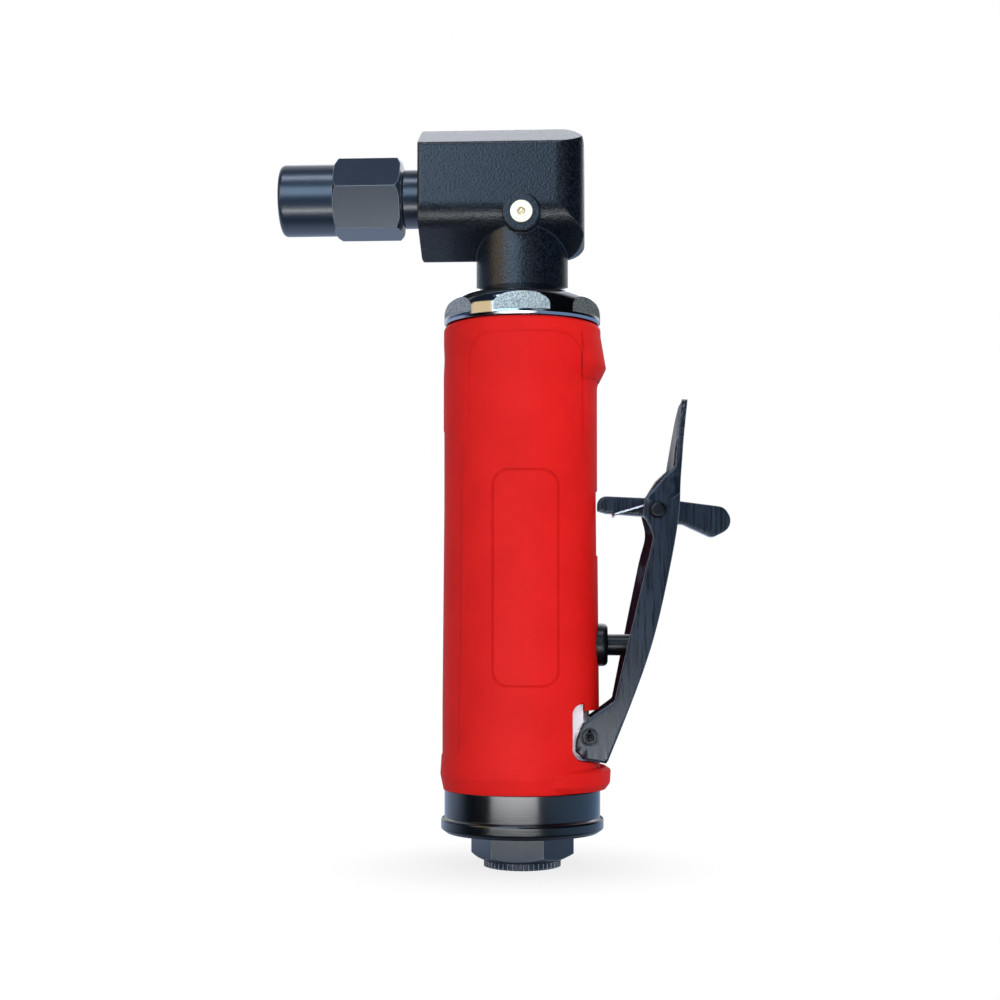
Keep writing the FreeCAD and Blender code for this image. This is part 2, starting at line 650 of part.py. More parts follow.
def grip_form(inset):
    """The sleeve's round outside as a solid, or the same form a little further in."""
    low, high = SLEEVE_BOTTOM, SLEEVE_TOP
    grip_r = SLEEVE_R - inset
    waist_r = grip_r - WAIST_DEPTH
    grip = turned([
        (0, low), (grip_r - 0.4, low), (grip_r + SKIRT_OUT, low + 3.6, 2.5), (grip_r, low + SKIRT_H, 10.0),
        (grip_r, low + BELLY, 40.0), (waist_r, low + WAIST_LOW, 40.0),
        (waist_r, high - BAND_H), (waist_r - GRIP_SHIFT, high - 2), (0, high - 2),
    ])
    grip.translate(Vector(-GRIP_SHIFT, 0, 0))
    band = turned([
        (0, high - BAND_H - 5), (waist_r - 2 * GRIP_SHIFT, high - BAND_H - 5),
        (waist_r + 0.1, high - BAND_H), (grip_r, high - 4.5, 10.0), (grip_r, high, 1.3), (0, high),
    ])
    return grip.fuse(band)


def label_frame():
    """Thin rounded rectangle pressed into the front of the sleeve."""
    low = SLEEVE_BOTTOM + FRAME_LOW
    high = SLEEVE_BOTTOM + FRAME_HIGH
    prisms = []
    for inset in (0, FRAME_LINE):
        left = FRAME_SHIFT - FRAME_W / 2 + inset
        right = FRAME_SHIFT + FRAME_W / 2 - inset
        radius = FRAME_R - inset
        corners = [
            (left, low + inset, radius), (right, low + inset, radius),
            (right, high - inset, radius), (left, high - inset, radius),
        ]
        prisms.append(prism(corners, side_plane(-SLEEVE_R - 1), Vector(0, SLEEVE_R, 0)))
    line = prisms[0].cut(prisms[1])
    return line.cut(grip_form(FRAME_DEPTH))


def shallow_panels():
    """What the panels in front, behind and on the collet's side take off the sleeve."""
    low, high = SLEEVE_BOTTOM + SIDE_PANEL_LOW, SLEEVE_TOP - PANEL_TOP
    half = PANEL_W / 2
    left, right = FRAME_SHIFT - half, FRAME_SHIFT + half
    front = prism(
        [(left, high - PANEL_H), (right, high - PANEL_H), (right, high, PANEL_R), (left, high, PANEL_R)],
        side_plane(-2 * SLEEVE_R), Vector(0, 4 * SLEEVE_R, 0),
    )
    half = SIDE_PANEL_W / 2
    peak = SLEEVE_TOP - SIDE_PANEL_TOP
    side = prism(
        [
            (-half, low, 3.0), (half, low, 3.0), (half, peak - SIDE_PANEL_PEAK, 2.0),
            (0, peak, 8.0), (-half, peak - SIDE_PANEL_PEAK, 2.0),
        ],
        end_plane(-2 * SLEEVE_R), Vector(2 * SLEEVE_R, 0, 0),
    )
    core = grip_form(PANEL_DEPTH)
    return [front.cut(core), side.cut(core)]


def partly_turned(corners, half_angle):
    """A solid turned about Z from its corners, through half an angle to each side of +X."""
    face = Part.Face(outline(corners, side_plane(0)))
    face.rotate(Vector(0, 0, 0), Vector(0, 0, 1), -half_angle)
    return face.revolve(Vector(0, 0, 0), Vector(0, 0, 1), 2 * half_angle)


def grip_sleeve():
    low, high = SLEEVE_BOTTOM, SLEEVE_TOP
    inside_r = SLEEVE_BORE_R + 1
    pad = partly_turned(
        [
            (inside_r, high - PAD_TOP), (SLEEVE_R - 0.3, high - PAD_TOP, 0.6),
            (SLEEVE_R + PAD_OUT, high - PAD_STEP, 0.8), (SLEEVE_R - 0.3, high - PAD_FOOT),
            (inside_r, high - PAD_FOOT),
        ],
        PAD_HALF_ANGLE,
    )
    lip = turned([
        (0, low + LIP_LOW), (LIP_R - 1.2, low + LIP_LOW), (LIP_R - 0.2, low + 1.6, 0.8),
        (LIP_R, low + LIP_HIGH - 0.8, 0.6), (LIP_R - 1.2, low + LIP_HIGH), (0, low + LIP_HIGH),
    ])
    lip.translate(Vector(SLEEVE_R + LIP_OUT - LIP_R, 0, 0))
    body = grip_form(0).fuse([pad, lip])
    latch_z = PIVOT_Z + LATCH_Z
    floor = SLEEVE_BORE_R + LATCH_POCKET_FLOOR
    pocket = prism(
        [
            (floor, latch_z - LATCH_POCKET_LOW), (SLEEVE_R + 3, latch_z - LATCH_POCKET_LOW),
            (SLEEVE_R + 3, latch_z + LATCH_POCKET_HIGH), (floor, latch_z + LATCH_POCKET_HIGH),
        ],
        side_plane(-LATCH_POCKET_W / 2), Vector(0, LATCH_POCKET_W, 0),
    )
    cuts = [
        rod(SLEEVE_BORE_R, low - EPS, high + EPS),
        long_rod(BUSH_R + FIT, SLEEVE_BORE_R - 2, SLEEVE_R + 3, PIN_Z),
        long_rod(BUSH_FLANGE_R + FIT, BUSH_SEAT_X, SLEEVE_R + 3, PIN_Z),
        pocket, lever_cut_out(), label_frame(),
    ]
    return body.cut(cuts + shallow_panels())


# ================================================================ throttle valve
def valve_seat():
    return tube(VALVE_CHAMBER_R - FIT, SEAT_BORE_R, SEAT_Z, SEAT_Z + SEAT_H)


def tilt_valve():
    """Rubber-faced disc under the seat with a stem that the throttle pin tips over."""
    disc = turned([
        (0, SEAT_Z - DISC_T), (DISC_R - 0.6, SEAT_Z - DISC_T), (DISC_R, SEAT_Z - DISC_T + 0.8),
        (DISC_R, SEAT_Z - FIT), (0, SEAT_Z - FIT),
    ])
    stem_top = PIN_Z + 2 * STEM_R
    stem = turned([(0, SEAT_Z - DISC_T), (STEM_R, SEAT_Z - DISC_T), (STEM_R, stem_top, -0.6), (0, stem_top)])
    return disc.fuse(stem).removeSplitter()


def valve_spring():
    low = INLET_TOP + 0.6 + SPRING_WIRE / 2 + FIT
    high = SEAT_Z - DISC_T - SPRING_WIRE / 2 - LOOSE
    spring = coil(VALVE_CHAMBER_R - SPRING_WIRE - 0.3, DISC_R - SPRING_WIRE - 0.6, high - low, 4, SPRING_WIRE)
    return moved(spring, Placement(Vector(0, 0, low), Rotation()))


# ================================================================ throttle pin and bush
def web_inner_x(z):
    """Where the lever's web lies at a height, on its inner face."""
    points = lever_curve(LEVER_SHEET).discretize(400)
    for lower, upper in zip(points, points[1:]):
        if lower.z <= z <= upper.z:
            return lower.x + (upper.x - lower.x) * (z - lower.z) / (upper.z - lower.z)
    raise ValueError("the throttle pin lies outside the lever")


def pin_groove():
    return tube(PIN_R + EPS, PIN_R - O_RING_WIRE + 0.5, O_RING_S, O_RING_S + O_RING_WIRE)


def along_pin(shape):
    """A shape built about Z, with distance along +X as its height, laid along the throttle pin."""
    return moved(shape, Placement(Vector(0, 0, PIN_Z), Rotation(Vector(0, 1, 0), 90)))


def throttle_pin():
    start = STEM_R + 0.15
    end = web_inner_x(PIN_Z - PIN_R + PIN_END_R) - 0.15
    body = turned([
        (0, start), (PIN_TIP_R, start, -0.5), (PIN_TIP_R, start + PIN_TIP_L),
        (PIN_R, start + PIN_TIP_L + 0.5),
        (PIN_R, end, -PIN_END_R), (0, end),
    ])
    clip_groove = tube(PIN_R + EPS, PIN_R - 0.5, CLIP_S, CLIP_S + CLIP_T)
    return along_pin(body.cut([pin_groove(), clip_groove]))


def pin_clip():
    return along_pin(tube(CLIP_R, PIN_R - 0.45, CLIP_S + FIT, CLIP_S + CLIP_T - FIT))


def pin_o_ring():
    middle = PIN_R - (O_RING_WIRE - 0.5) / 2
    return along_pin(tube(PIN_R + FIT / 2, middle - 0.4, O_RING_S + 0.1, O_RING_S + O_RING_WIRE - 0.1))


def throttle_bush():
    body = turned([
        (PIN_R + FIT, BUSH_INNER_X), (BUSH_R, BUSH_INNER_X), (BUSH_R, BUSH_SEAT_X),
        (BUSH_FLANGE_R, BUSH_SEAT_X), (BUSH_FLANGE_R, BUSH_OUTER_X, 1.2), (PIN_R + FIT, BUSH_OUTER_X),
    ])
    return along_pin(body)


# ================================================================ vane motor
def rotor_slots(depth, thickness, low, high):
    """Radial slots in the rotor, or the vanes that fill them."""
    slot = box((ROTOR_R - depth, -thickness / 2, low), (ROTOR_R + EPS, thickness / 2, high))
    return ring_of(slot, VANES, 45)


def rotor():
    low, high = REAR_PLATE_TOP + FIT, CYLINDER_TOP - FIT
    core = rod(ROTOR_R, low, high).cut(rotor_slots(VANE_DEPTH + 0.3, VANE_T + 0.1, low - EPS, high + EPS))
    shaft_low = MOTOR_FLOOR + 0.7
    shaft_high = FRONT_PLATE_TOP + 0.6
    shaft = turned([
        (0, shaft_low), (SMALL_BORE_R, shaft_low, -0.5), (SMALL_BORE_R, shaft_high, -0.5), (0, shaft_high),
    ])
    drive = hexagon(DRIVE_HEX_AF, shaft_high - EPS, PINION_LOW + DRIVE_HEX_L - 1, 30)
    return core.fuse([shaft, drive]).removeSplitter()


def rotor_vanes():
    low, high = REAR_PLATE_TOP + 2 * FIT, CYLINDER_TOP - 2 * FIT
    vanes = rotor_slots(VANE_DEPTH, VANE_T, low, high)
    inside = rod(ROTOR_R, low, high)
    return Part.makeCompound([vane.common(inside) for vane in vanes])


def motor_cylinder():
    body = rod(MOTOR_BORE_R - FIT, REAR_PLATE_TOP, CYLINDER_TOP)
    bore = rod(CYLINDER_BORE_R, REAR_PLATE_TOP - EPS, CYLINDER_TOP + EPS, 0, CYLINDER_OFFSET)
    ports = []
    half_h, half_w = PORT_H / 2, PORT_W / 2
    for i in range(PORTS):
        z = REAR_PLATE_TOP + CYLINDER_L * (i + 1) / (PORTS + 1)
        ports.append(box((-MOTOR_BORE_R, -half_w, z - half_h), (-MOTOR_BORE_R / 2, half_w, z + half_h)))
    pins = [rod(DOWEL_R + FIT, *span, *DOWEL_AT) for span in dowel_spans()]
    return body.cut([bore] + ports + pins)


def dowel_spans():
    """Heights of the two pins that keep the end plates and the cylinder from turning."""
    return [(z - DOWEL_HALF_L, z + DOWEL_HALF_L) for z in (REAR_PLATE_TOP, CYLINDER_TOP)]


def cylinder_dowels():
    return Part.makeCompound([rod(DOWEL_R, low + FIT, high - FIT, *DOWEL_AT) for low, high in dowel_spans()])


def end_plate(low, bearing_z, wall_side):
    """An end plate with its bearing seat open on one side and a shaft hole in the wall that is left."""
    high = low + END_PLATE_T
    body = rod(MOTOR_BORE_R - FIT, low, high)
    if wall_side == "top":
        seat = rod(SMALL_R, low - EPS, bearing_z + SMALL_W)
    else:
        seat = rod(SMALL_R, bearing_z, high + EPS)
    shaft_hole = rod(SMALL_BORE_R + 0.4, low - EPS, high + EPS)
    pins = [rod(DOWEL_R + FIT, *span, *DOWEL_AT) for span in dowel_spans()]
    port_x = (SMALL_R + MOTOR_BORE_R) / 2
    port = rod(1.4, low - EPS, high + EPS, port_x)
    return body.cut([seat, shaft_hole, port] + pins)


def motor_clamp_ring():
    outer = MOTOR_BORE_R - FIT
    return tube(outer, outer - CLAMP_RING_WALL, FRONT_PLATE_TOP, SPIGOT_BOTTOM)


# ================================================================ angle head
def head_block():
    """The outer form of the head, rounded in its three views."""
    roof, under = math.radians(HEAD_ROOF_ANGLE), math.radians(HEAD_FACET_ANGLE)
    wide = HEAD_HALF_WIDTH
    ridge = SPINDLE_Z + (FRONT_R + HEAD_ROOF_WALL) / math.cos(roof)
    eaves = ridge - wide * math.tan(roof)
    keel = SPINDLE_Z - (FRONT_R + HEAD_FACET_WALL) / math.cos(under)
    chine = keel + wide * math.tan(under)
    top = ridge - (1 / math.cos(roof) - 1) * HEAD_RIDGE_R
    bottom = keel + (1 / math.cos(under) - 1) * HEAD_KEEL_R
    length = HEAD_FRONT + HEAD_REAR
    section = prism(
        [
            (wide, eaves, HEAD_EAVES_R), (0, ridge, HEAD_RIDGE_R), (-wide, eaves, HEAD_EAVES_R),
            (-wide, chine, HEAD_CHINE_R), (0, keel, HEAD_KEEL_R), (wide, chine, HEAD_CHINE_R),
        ],
        end_plane(-HEAD_FRONT), Vector(length, 0, 0),
    )
    plan = prism(
        [
            (-HEAD_FRONT, -wide, 0.8), (HEAD_REAR, -wide, HEAD_CORNER_R),
            (HEAD_REAR, wide, HEAD_CORNER_R), (-HEAD_FRONT, wide, 0.8),
        ],
        plan_plane(keel), Vector(0, 0, ridge - keel),
    )
    profile = prism(
        [
            (-HEAD_FRONT, top, 0.8), (-HEAD_FRONT, bottom, 0.8), (HEAD_REAR, bottom, HEAD_REAR_BOTTOM_R),
            (HEAD_REAR, top, HEAD_REAR_TOP_R),
        ],
        side_plane(-wide), Vector(0, 2 * wide, 0),
    )
    return section.common(plan).common(profile)


def angle_head():
    neck = rod(NECK_R, HOUSING_TOP, SPINDLE_Z)
    flange = rod(HOUSING_R - FIT, HOUSING_TOP, FLANGE_TOP)
    spigot = rod(MOTOR_BORE_R - FIT, SPIGOT_BOTTOM, HOUSING_TOP + EPS)
    boss_face = -HEAD_HALF_WIDTH - FITTING_BOSS_OUT
    fitting_z = SPINDLE_Z - FITTING_DROP
    boss = cross_rod(FITTING_BOSS_R, -FITTING_SHIFT, fitting_z, boss_face, 0)
    body = head_block().fuse([neck, flange, spigot, boss])
    chamber_r = GEAR_TIP_R + 0.6
    pinion_room = PINION_TIP_R + 0.3
    lock_low = LOWER_BEARING_Z - LOCK_RING_H
    cuts = [
        on_spindle(rod(FRONT_R, FRONT_BEARING_S - 0.2, HEAD_FRONT + EPS)),
        on_spindle(rod(chamber_r, -REAR_BEARING_S, FRONT_BEARING_S)),
        on_spindle(rod(REAR_R, -REAR_BEARING_S - REAR_W - 0.1, 0)),
        rod(pinion_room, PINION_SHOULDER - EPS, SPINDLE_Z),
        rod(SMALL_R, lock_low - EPS, PINION_SHOULDER),
        rod(SMALL_R + 1.6, SPIGOT_BOTTOM - EPS, lock_low),
        cross_rod(FITTING_SHANK_R + FIT, -FITTING_SHIFT, fitting_z, boss_face - EPS, FITTING_DEEP),
        cross_rod(FITTING_WAY_R, -FITTING_SHIFT, fitting_z, boss_face, 0),
    ]
    return body.cut(cuts).removeSplitter()


def grease_fitting():
    x, z = -FITTING_SHIFT, SPINDLE_Z - FITTING_DROP
    seat = -HEAD_HALF_WIDTH - FITTING_BOSS_OUT
    face = cross_rod(FITTING_R, x, z, seat - FITTING_FACE_H, seat)
    shank = cross_rod(FITTING_SHANK_R, x, z, seat - EPS, FITTING_DEEP)
    way = cross_rod(FITTING_WAY_R, x, z, seat - FITTING_FACE_H - EPS, FITTING_DEEP + EPS)
    return face.fuse(shank).cut(way).removeSplitter()


def grease_fitting_ball():
    y = -HEAD_HALF_WIDTH - FITTING_BOSS_OUT - FITTING_FACE_H + FITTING_WAY_R
    return Part.makeSphere(FITTING_WAY_R - FIT / 2, Vector(-FITTING_SHIFT, y, SPINDLE_Z - FITTING_DROP))


# ================================================================ pinion shaft
def drive_pinion():
    gear = moved(
        bevel_gear(PINION_TEETH, PINION_CONE, PINION_HUB_R, PINION_HUB_L, 0),
        Placement(Vector(0, 0, SPINDLE_Z), Rotation(Vector(0, 0, 1), 180 + 180 / PINION_TEETH)),
    )
    shaft = turned([
        (0, PINION_LOW), (SMALL_BORE_R, PINION_LOW, -0.4), (SMALL_BORE_R, PINION_SHOULDER + EPS),
        (0, PINION_SHOULDER + EPS),
    ])
    socket = hexagon(DRIVE_HEX_AF + 2 * FIT, PINION_LOW - EPS, PINION_LOW + DRIVE_HEX_L, 30)
    return gear.fuse(shaft).cut(socket)


def pinion_lock_ring():
    low = LOWER_BEARING_Z - LOCK_RING_H
    ring = tube(SMALL_R - FIT, SMALL_BORE_R + 1.8, low, LOWER_BEARING_Z)
    notch = box((SMALL_R - 3, -1, low - EPS), (SMALL_R + EPS, 1, low + 1.2))
    return ring.cut(ring_of(notch, 2))


def pinion_spacers():
    """The long spacer between the outer rings, and the one between the inner rings."""
    low, high = LOWER_BEARING_Z + SMALL_W, UPPER_BEARING_Z
    return tube(SMALL_R - FIT, SMALL_R - 1.1, low, high), tube(SMALL_BORE_R + 1.1, SMALL_BORE_R, low, high)


def pinion_circlip():
    return tube(SMALL_BORE_R + 1.0, SMALL_BORE_R, LOWER_BEARING_Z - 1.0, LOWER_BEARING_Z)


# ================================================================ spindle
def spindle():
    neck_start = FRONT_BEARING_END
    neck_end = HEAD_FRONT + SPINDLE_NECK_L
    body = turned([
        (0, -REAR_BEARING_S - REAR_W + 0.2), (REAR_BORE_R, -REAR_BEARING_S - REAR_W + 0.2, -0.4),
        (REAR_BORE_R, -REAR_BEARING_S), (SPINDLE_R, -REAR_BEARING_S),
        (SPINDLE_R, GEAR_BACK), (FRONT_BORE_R, GEAR_BACK), (FRONT_BORE_R, neck_start),
        (SPINDLE_NECK_R, neck_start), (SPINDLE_NECK_R, neck_end, -0.5), (THREAD_R, neck_end),
        (THREAD_R, THREAD_END, -0.5), (0, THREAD_END),
    ])
    bore = turned([
        (0, COLLET_BACK - COLLET_BACK_GAP), (COLLET_STEM_R + FIT, COLLET_BACK - COLLET_BACK_GAP),
        (COLLET_STEM_R + FIT, COLLET_SEAT), (COLLET_BODY_R + FIT, COLLET_SEAT + COLLET_SEAT_L),
        (COLLET_BODY_R + FIT, THREAD_END + EPS), (0, THREAD_END + EPS),
    ])
    key_way = box(
        (SPINDLE_R - KEY_DEPTH, -KEY_W / 2, GEAR_BACK - GEAR_HUB_L),
        (SPINDLE_R + EPS, KEY_W / 2, GEAR_BACK - 0.4),
    )
    groove = tube(SPINDLE_R + EPS, SPINDLE_R - 0.5, GEAR_CLIP_S, GEAR_CLIP_S + GEAR_CLIP_T)
    return on_spindle(body.cut([bore, key_way, groove]))


def driven_gear():
    gear = bevel_gear(GEAR_TEETH, GEAR_CONE, GEAR_HUB_R, GEAR_HUB_L, SPINDLE_R)
    flipped = moved(gear, Placement(Vector(0, 0, 0), Rotation(Vector(0, 1, 0), 180)))
    key_way = box(
        (0, -KEY_W / 2, GEAR_BACK - GEAR_HUB_L), (SPINDLE_R + KEY_DEPTH, KEY_W / 2, GEAR_BACK + EPS)
    )
    return on_spindle(flipped.cut(key_way))


def gear_key():
    return on_spindle(box(
        (SPINDLE_R - KEY_DEPTH, -KEY_W / 2, GEAR_BACK - GEAR_HUB_L),
        (SPINDLE_R + KEY_DEPTH - FIT, KEY_W / 2, GEAR_BACK - 0.4),
    ))


def gear_clip():
    low, high = GEAR_CLIP_S + FIT, GEAR_CLIP_S + GEAR_CLIP_T - FIT
    return on_spindle(tube(SPINDLE_R + 0.8, SPINDLE_R - 0.45, low, high))


def spindle_spacer():
    return on_spindle(tube(FRONT_BORE_R + 1.2, FRONT_BORE_R, GEAR_BACK, FRONT_BEARING_S))


def spindle_retainer():
    """Threaded ring that holds the front bearing, with two pin-wrench holes and the seal's pocket."""
    low, high = FRONT_BEARING_END + FIT, HEAD_FRONT - 0.2
    ring = tube(FRONT_R - FIT, SEAL_R, low, high)
    lip = tube(SEAL_R + EPS, SPINDLE_NECK_R + FIT + 0.15, high - 0.6, high)
    hole = rod(0.7, high - 1.3, high + EPS, (SEAL_R + FRONT_R) / 2)
    return on_spindle(ring.fuse(lip).cut(ring_of(hole, 2)).removeSplitter())


def spindle_seal():
    return on_spindle(tube(
        SEAL_R - FIT, SPINDLE_NECK_R + FIT, FRONT_BEARING_END + 0.2, HEAD_FRONT - 0.8 - FIT
    ))


def collet():
    back, seat, body = COLLET_BACK, COLLET_SEAT, COLLET_SEAT + COLLET_SEAT_L
    shoulder = body + COLLET_BODY_L
    shape = turned([
        (COLLET_BORE_R, back), (COLLET_STEM_R, back, -0.3), (COLLET_STEM_R, seat + 0.1),
        (COLLET_BODY_R, body + 0.1), (COLLET_BODY_R, shoulder), (COLLET_NOSE_R, COLLET_FRONT),
        (COLLET_BORE_R, COLLET_FRONT),
    ])
    slit = box(
        (COLLET_BORE_R - 1, -COLLET_SLIT_W / 2, back + 2.0),
        (COLLET_BODY_R + 1, COLLET_SLIT_W / 2, COLLET_FRONT + EPS),
    )
    return on_spindle(shape.cut(ring_of(slit, COLLET_SLIT_COUNT, 45)))


def collet_nut():
    corner_r = NUT_AF / math.sqrt(3)
    bar = hexagon(NUT_AF, NUT_BACK, NUT_NOSE_S, NUT_TURN)
    chamfered = turned([
        (0, NUT_BACK), (corner_r - 1.0, NUT_BACK), (corner_r + 0.05, NUT_BACK + 0.9),
        (corner_r + 0.05, NUT_NOSE_S - 0.9), (corner_r - 1.0, NUT_NOSE_S), (0, NUT_NOSE_S),
    ])
    nose = turned([
        (0, NUT_NOSE_S - EPS), (NUT_NOSE_R, NUT_NOSE_S - EPS), (NUT_NOSE_R, NUT_FRONT, NUT_END_R),
        (0, NUT_FRONT),
    ])
    gap = 2 * FIT
    shoulder = COLLET_SEAT + COLLET_SEAT_L + COLLET_BODY_L
    bore = turned([
        (0, NUT_BACK - EPS), (THREAD_R + FIT, NUT_BACK - EPS), (THREAD_R + FIT, THREAD_END + 1.4),
        (COLLET_BODY_R + gap, THREAD_END + 1.4), (COLLET_BODY_R + gap, shoulder + gap),
        (COLLET_NOSE_R + gap, COLLET_FRONT + gap), (COLLET_NOSE_R + gap, NUT_FRONT + EPS),
        (0, NUT_FRONT + EPS),
    ])
    return on_spindle(bar.common(chamfered).fuse(nose).cut(bore).removeSplitter())


# ================================================================ lever
def lever_curve(inset):
    """The back of the lever as a smooth curve, or the same curve one sheet further in."""
    points = []
    count = len(LEVER_BACK)
    for i, (x, z) in enumerate(LEVER_BACK):
        before = LEVER_BACK[max(i - 1, 0)]
        after = LEVER_BACK[min(i + 1, count - 1)]
        along = Vector(after[0] - before[0], 0, after[1] - before[1]).normalize()
        inward = Vector(-along.z, 0, along.x)
        points.append(Vector(PIVOT_X + x, 0, PIVOT_Z + z) + inward * inset)
    curve = Part.BSplineCurve()
    curve.interpolate(points)
    return curve.toShape()


def lever_web():
    """The curved back of the lever and the tab above its flanges, as one strip of sheet."""
    outer = lever_curve(0)
    inner = lever_curve(LEVER_SHEET)
    ends = [
        Part.makeLine(outer.Vertexes[-1].Point, inner.Vertexes[-1].Point),
        Part.makeLine(inner.Vertexes[0].Point, outer.Vertexes[0].Point),
    ]
    face = Part.Face(Part.Wire([outer, ends[0], inner, ends[1]]))
    face.translate(Vector(0, -LEVER_W / 2, 0))
    return face.extrude(Vector(0, LEVER_W, 0))


def lever_flange():
    """The outline of one side of the channel."""
    corners = [(PIVOT_X + c[0], PIVOT_Z + c[1]) + tuple(c[2:]) for c in LEVER_FLANGE]
    return outline(corners, side_plane(0))


def throttle_lever():
    web = lever_web()
    half = LEVER_W / 2
    flanges = []
    for start in (-half, half - LEVER_SHEET):
        face = Part.Face(lever_flange())
        face.translate(Vector(0, start, 0))
        flanges.append(face.extrude(Vector(0, LEVER_SHEET, 0)))
    body = web.fuse(flanges).removeSplitter()
    tab_top = PIVOT_Z + LEVER_BACK[-1][1] + 1
    tab = prism(
        [
            (-half, PIVOT_Z - 20), (half, PIVOT_Z - 20),
            (half, tab_top, TAB_CORNER_R), (-half, tab_top, TAB_CORNER_R),
        ],
        end_plane(PIVOT_X - 20), Vector(80, 0, 0),
    )
    body = body.common(tab)
    latch_x, latch_z = PIVOT_X + LATCH_X, PIVOT_Z + LATCH_Z
    half_slot = LATCH_SLOT_W / 2
    slot = prism(
        [
            (-half_slot, latch_z - LATCH_SLOT_LOW, 1), (half_slot, latch_z - LATCH_SLOT_LOW, 1),
            (half_slot, latch_z + LATCH_SLOT_HIGH, 2), (-half_slot, latch_z + LATCH_SLOT_HIGH, 2),
        ],
        end_plane(latch_x), Vector(20, 0, 0),
    )
    cuts = [
        slot,
        cross_rod(LATCH_PIN_R + FIT, latch_x, latch_z, -half - 1, half + 1),
        cross_rod(HINGE_PIN_R + FIT, PIVOT_X, PIVOT_Z, -half - 1, half + 1),
    ]
    return body.cut(cuts).removeSplitter()


def lever_hinge_pin():
    half = LEVER_W / 2
    pin = cross_rod(HINGE_PIN_R, PIVOT_X, PIVOT_Z, -half - 0.2, half + 0.2)
    hole = cross_rod(HINGE_PIN_HOLE_R, PIVOT_X, PIVOT_Z, -half - 1, half + 1)
    slit = box((PIVOT_X - 0.3, -half - 1, PIVOT_Z), (PIVOT_X + 0.3, half + 1, PIVOT_Z + 5))
    return pin.cut([hole, slit])


def safety_latch():
    """Arm that props the lever off the handle, hub on the latch pin and paddle outside the web."""
    x, z = PIVOT_X + LATCH_X, PIVOT_Z + LATCH_Z
    tip = LATCH_TIP_X - x
    at = [
        (tip, 0.3, 0.3), (tip, 3.7, LATCH_ARM_R), (-2.0, 3.1, 3), (6.0, 2.3), (15.6, 1.0, 2.6),
        (18.4, -3.4, 3.0), (12.9, -6.1, 2.0), (6.0, -2.9, 1.5), (-1.5, -2.6), (-3.2, -1.0), (tip + 2.0, -0.3),
    ]
    corners = [(x + c[0], z + c[1]) + tuple(c[2:]) for c in at]
    body = prism(corners, side_plane(-LATCH_W / 2), Vector(0, LATCH_W, 0))
    hub = cross_rod(LATCH_HUB_R, x, z, -LATCH_W / 2, LATCH_W / 2)
    hole = cross_rod(LATCH_PIN_R + FIT, x, z, -LATCH_W, LATCH_W)
    return body.fuse(hub).cut(hole).removeSplitter()


def latch_pin():
    x, z = PIVOT_X + LATCH_X, PIVOT_Z + LATCH_Z
    half = LEVER_W / 2
    profile = [
        (0, -half - LATCH_HEAD_H), (LATCH_HEAD_R, -half - LATCH_HEAD_H, 0.8), (LATCH_HEAD_R, -half - FIT),
        (LATCH_PIN_R, -half - FIT), (LATCH_PIN_R, half + FIT), (LATCH_HEAD_R, half + FIT),
        (LATCH_HEAD_R, half + LATCH_HEAD_H, 0.8), (0, half + LATCH_HEAD_H),
    ]
    return moved(turned(profile), Placement(Vector(x, 0, z), Rotation(Vector(1, 0, 0), 90)))


def latch_spring():
    """Torsion spring on the latch pin, one leg under the latch's arm and one against the lever."""
    x, z = PIVOT_X + LATCH_X, PIVOT_Z + LATCH_Z
    wire_r = SPRING_WIRE / 2
    coil_r = LATCH_PIN_R + SPRING_WIRE / 2 + 0.25
    low = LATCH_W / 2 + 0.4
    turns = coil(coil_r, coil_r, 3.2, 3, SPRING_WIRE)
    body = moved(turns, Placement(Vector(x, -low, z), Rotation(Vector(1, 0, 0), 90)))
    arm_y = -low - wire_r
    legs = [
        (Vector(x - 0.5, arm_y, z + coil_r), Vector(x - 10.2, arm_y, z - 0.75)),
        (Vector(x - 10.2, arm_y, z - 0.75), Vector(x - 10.2, 1.5, z - 0.95)),
        (Vector(x - coil_r, arm_y - 3.2, z), Vector(x - 0.6, arm_y - 3.2, z - 6.5)),
    ]
    for start, end in legs:
        along = end - start
        body = body.fuse(Part.makeCylinder(wire_r, along.Length, start, along))
    return body


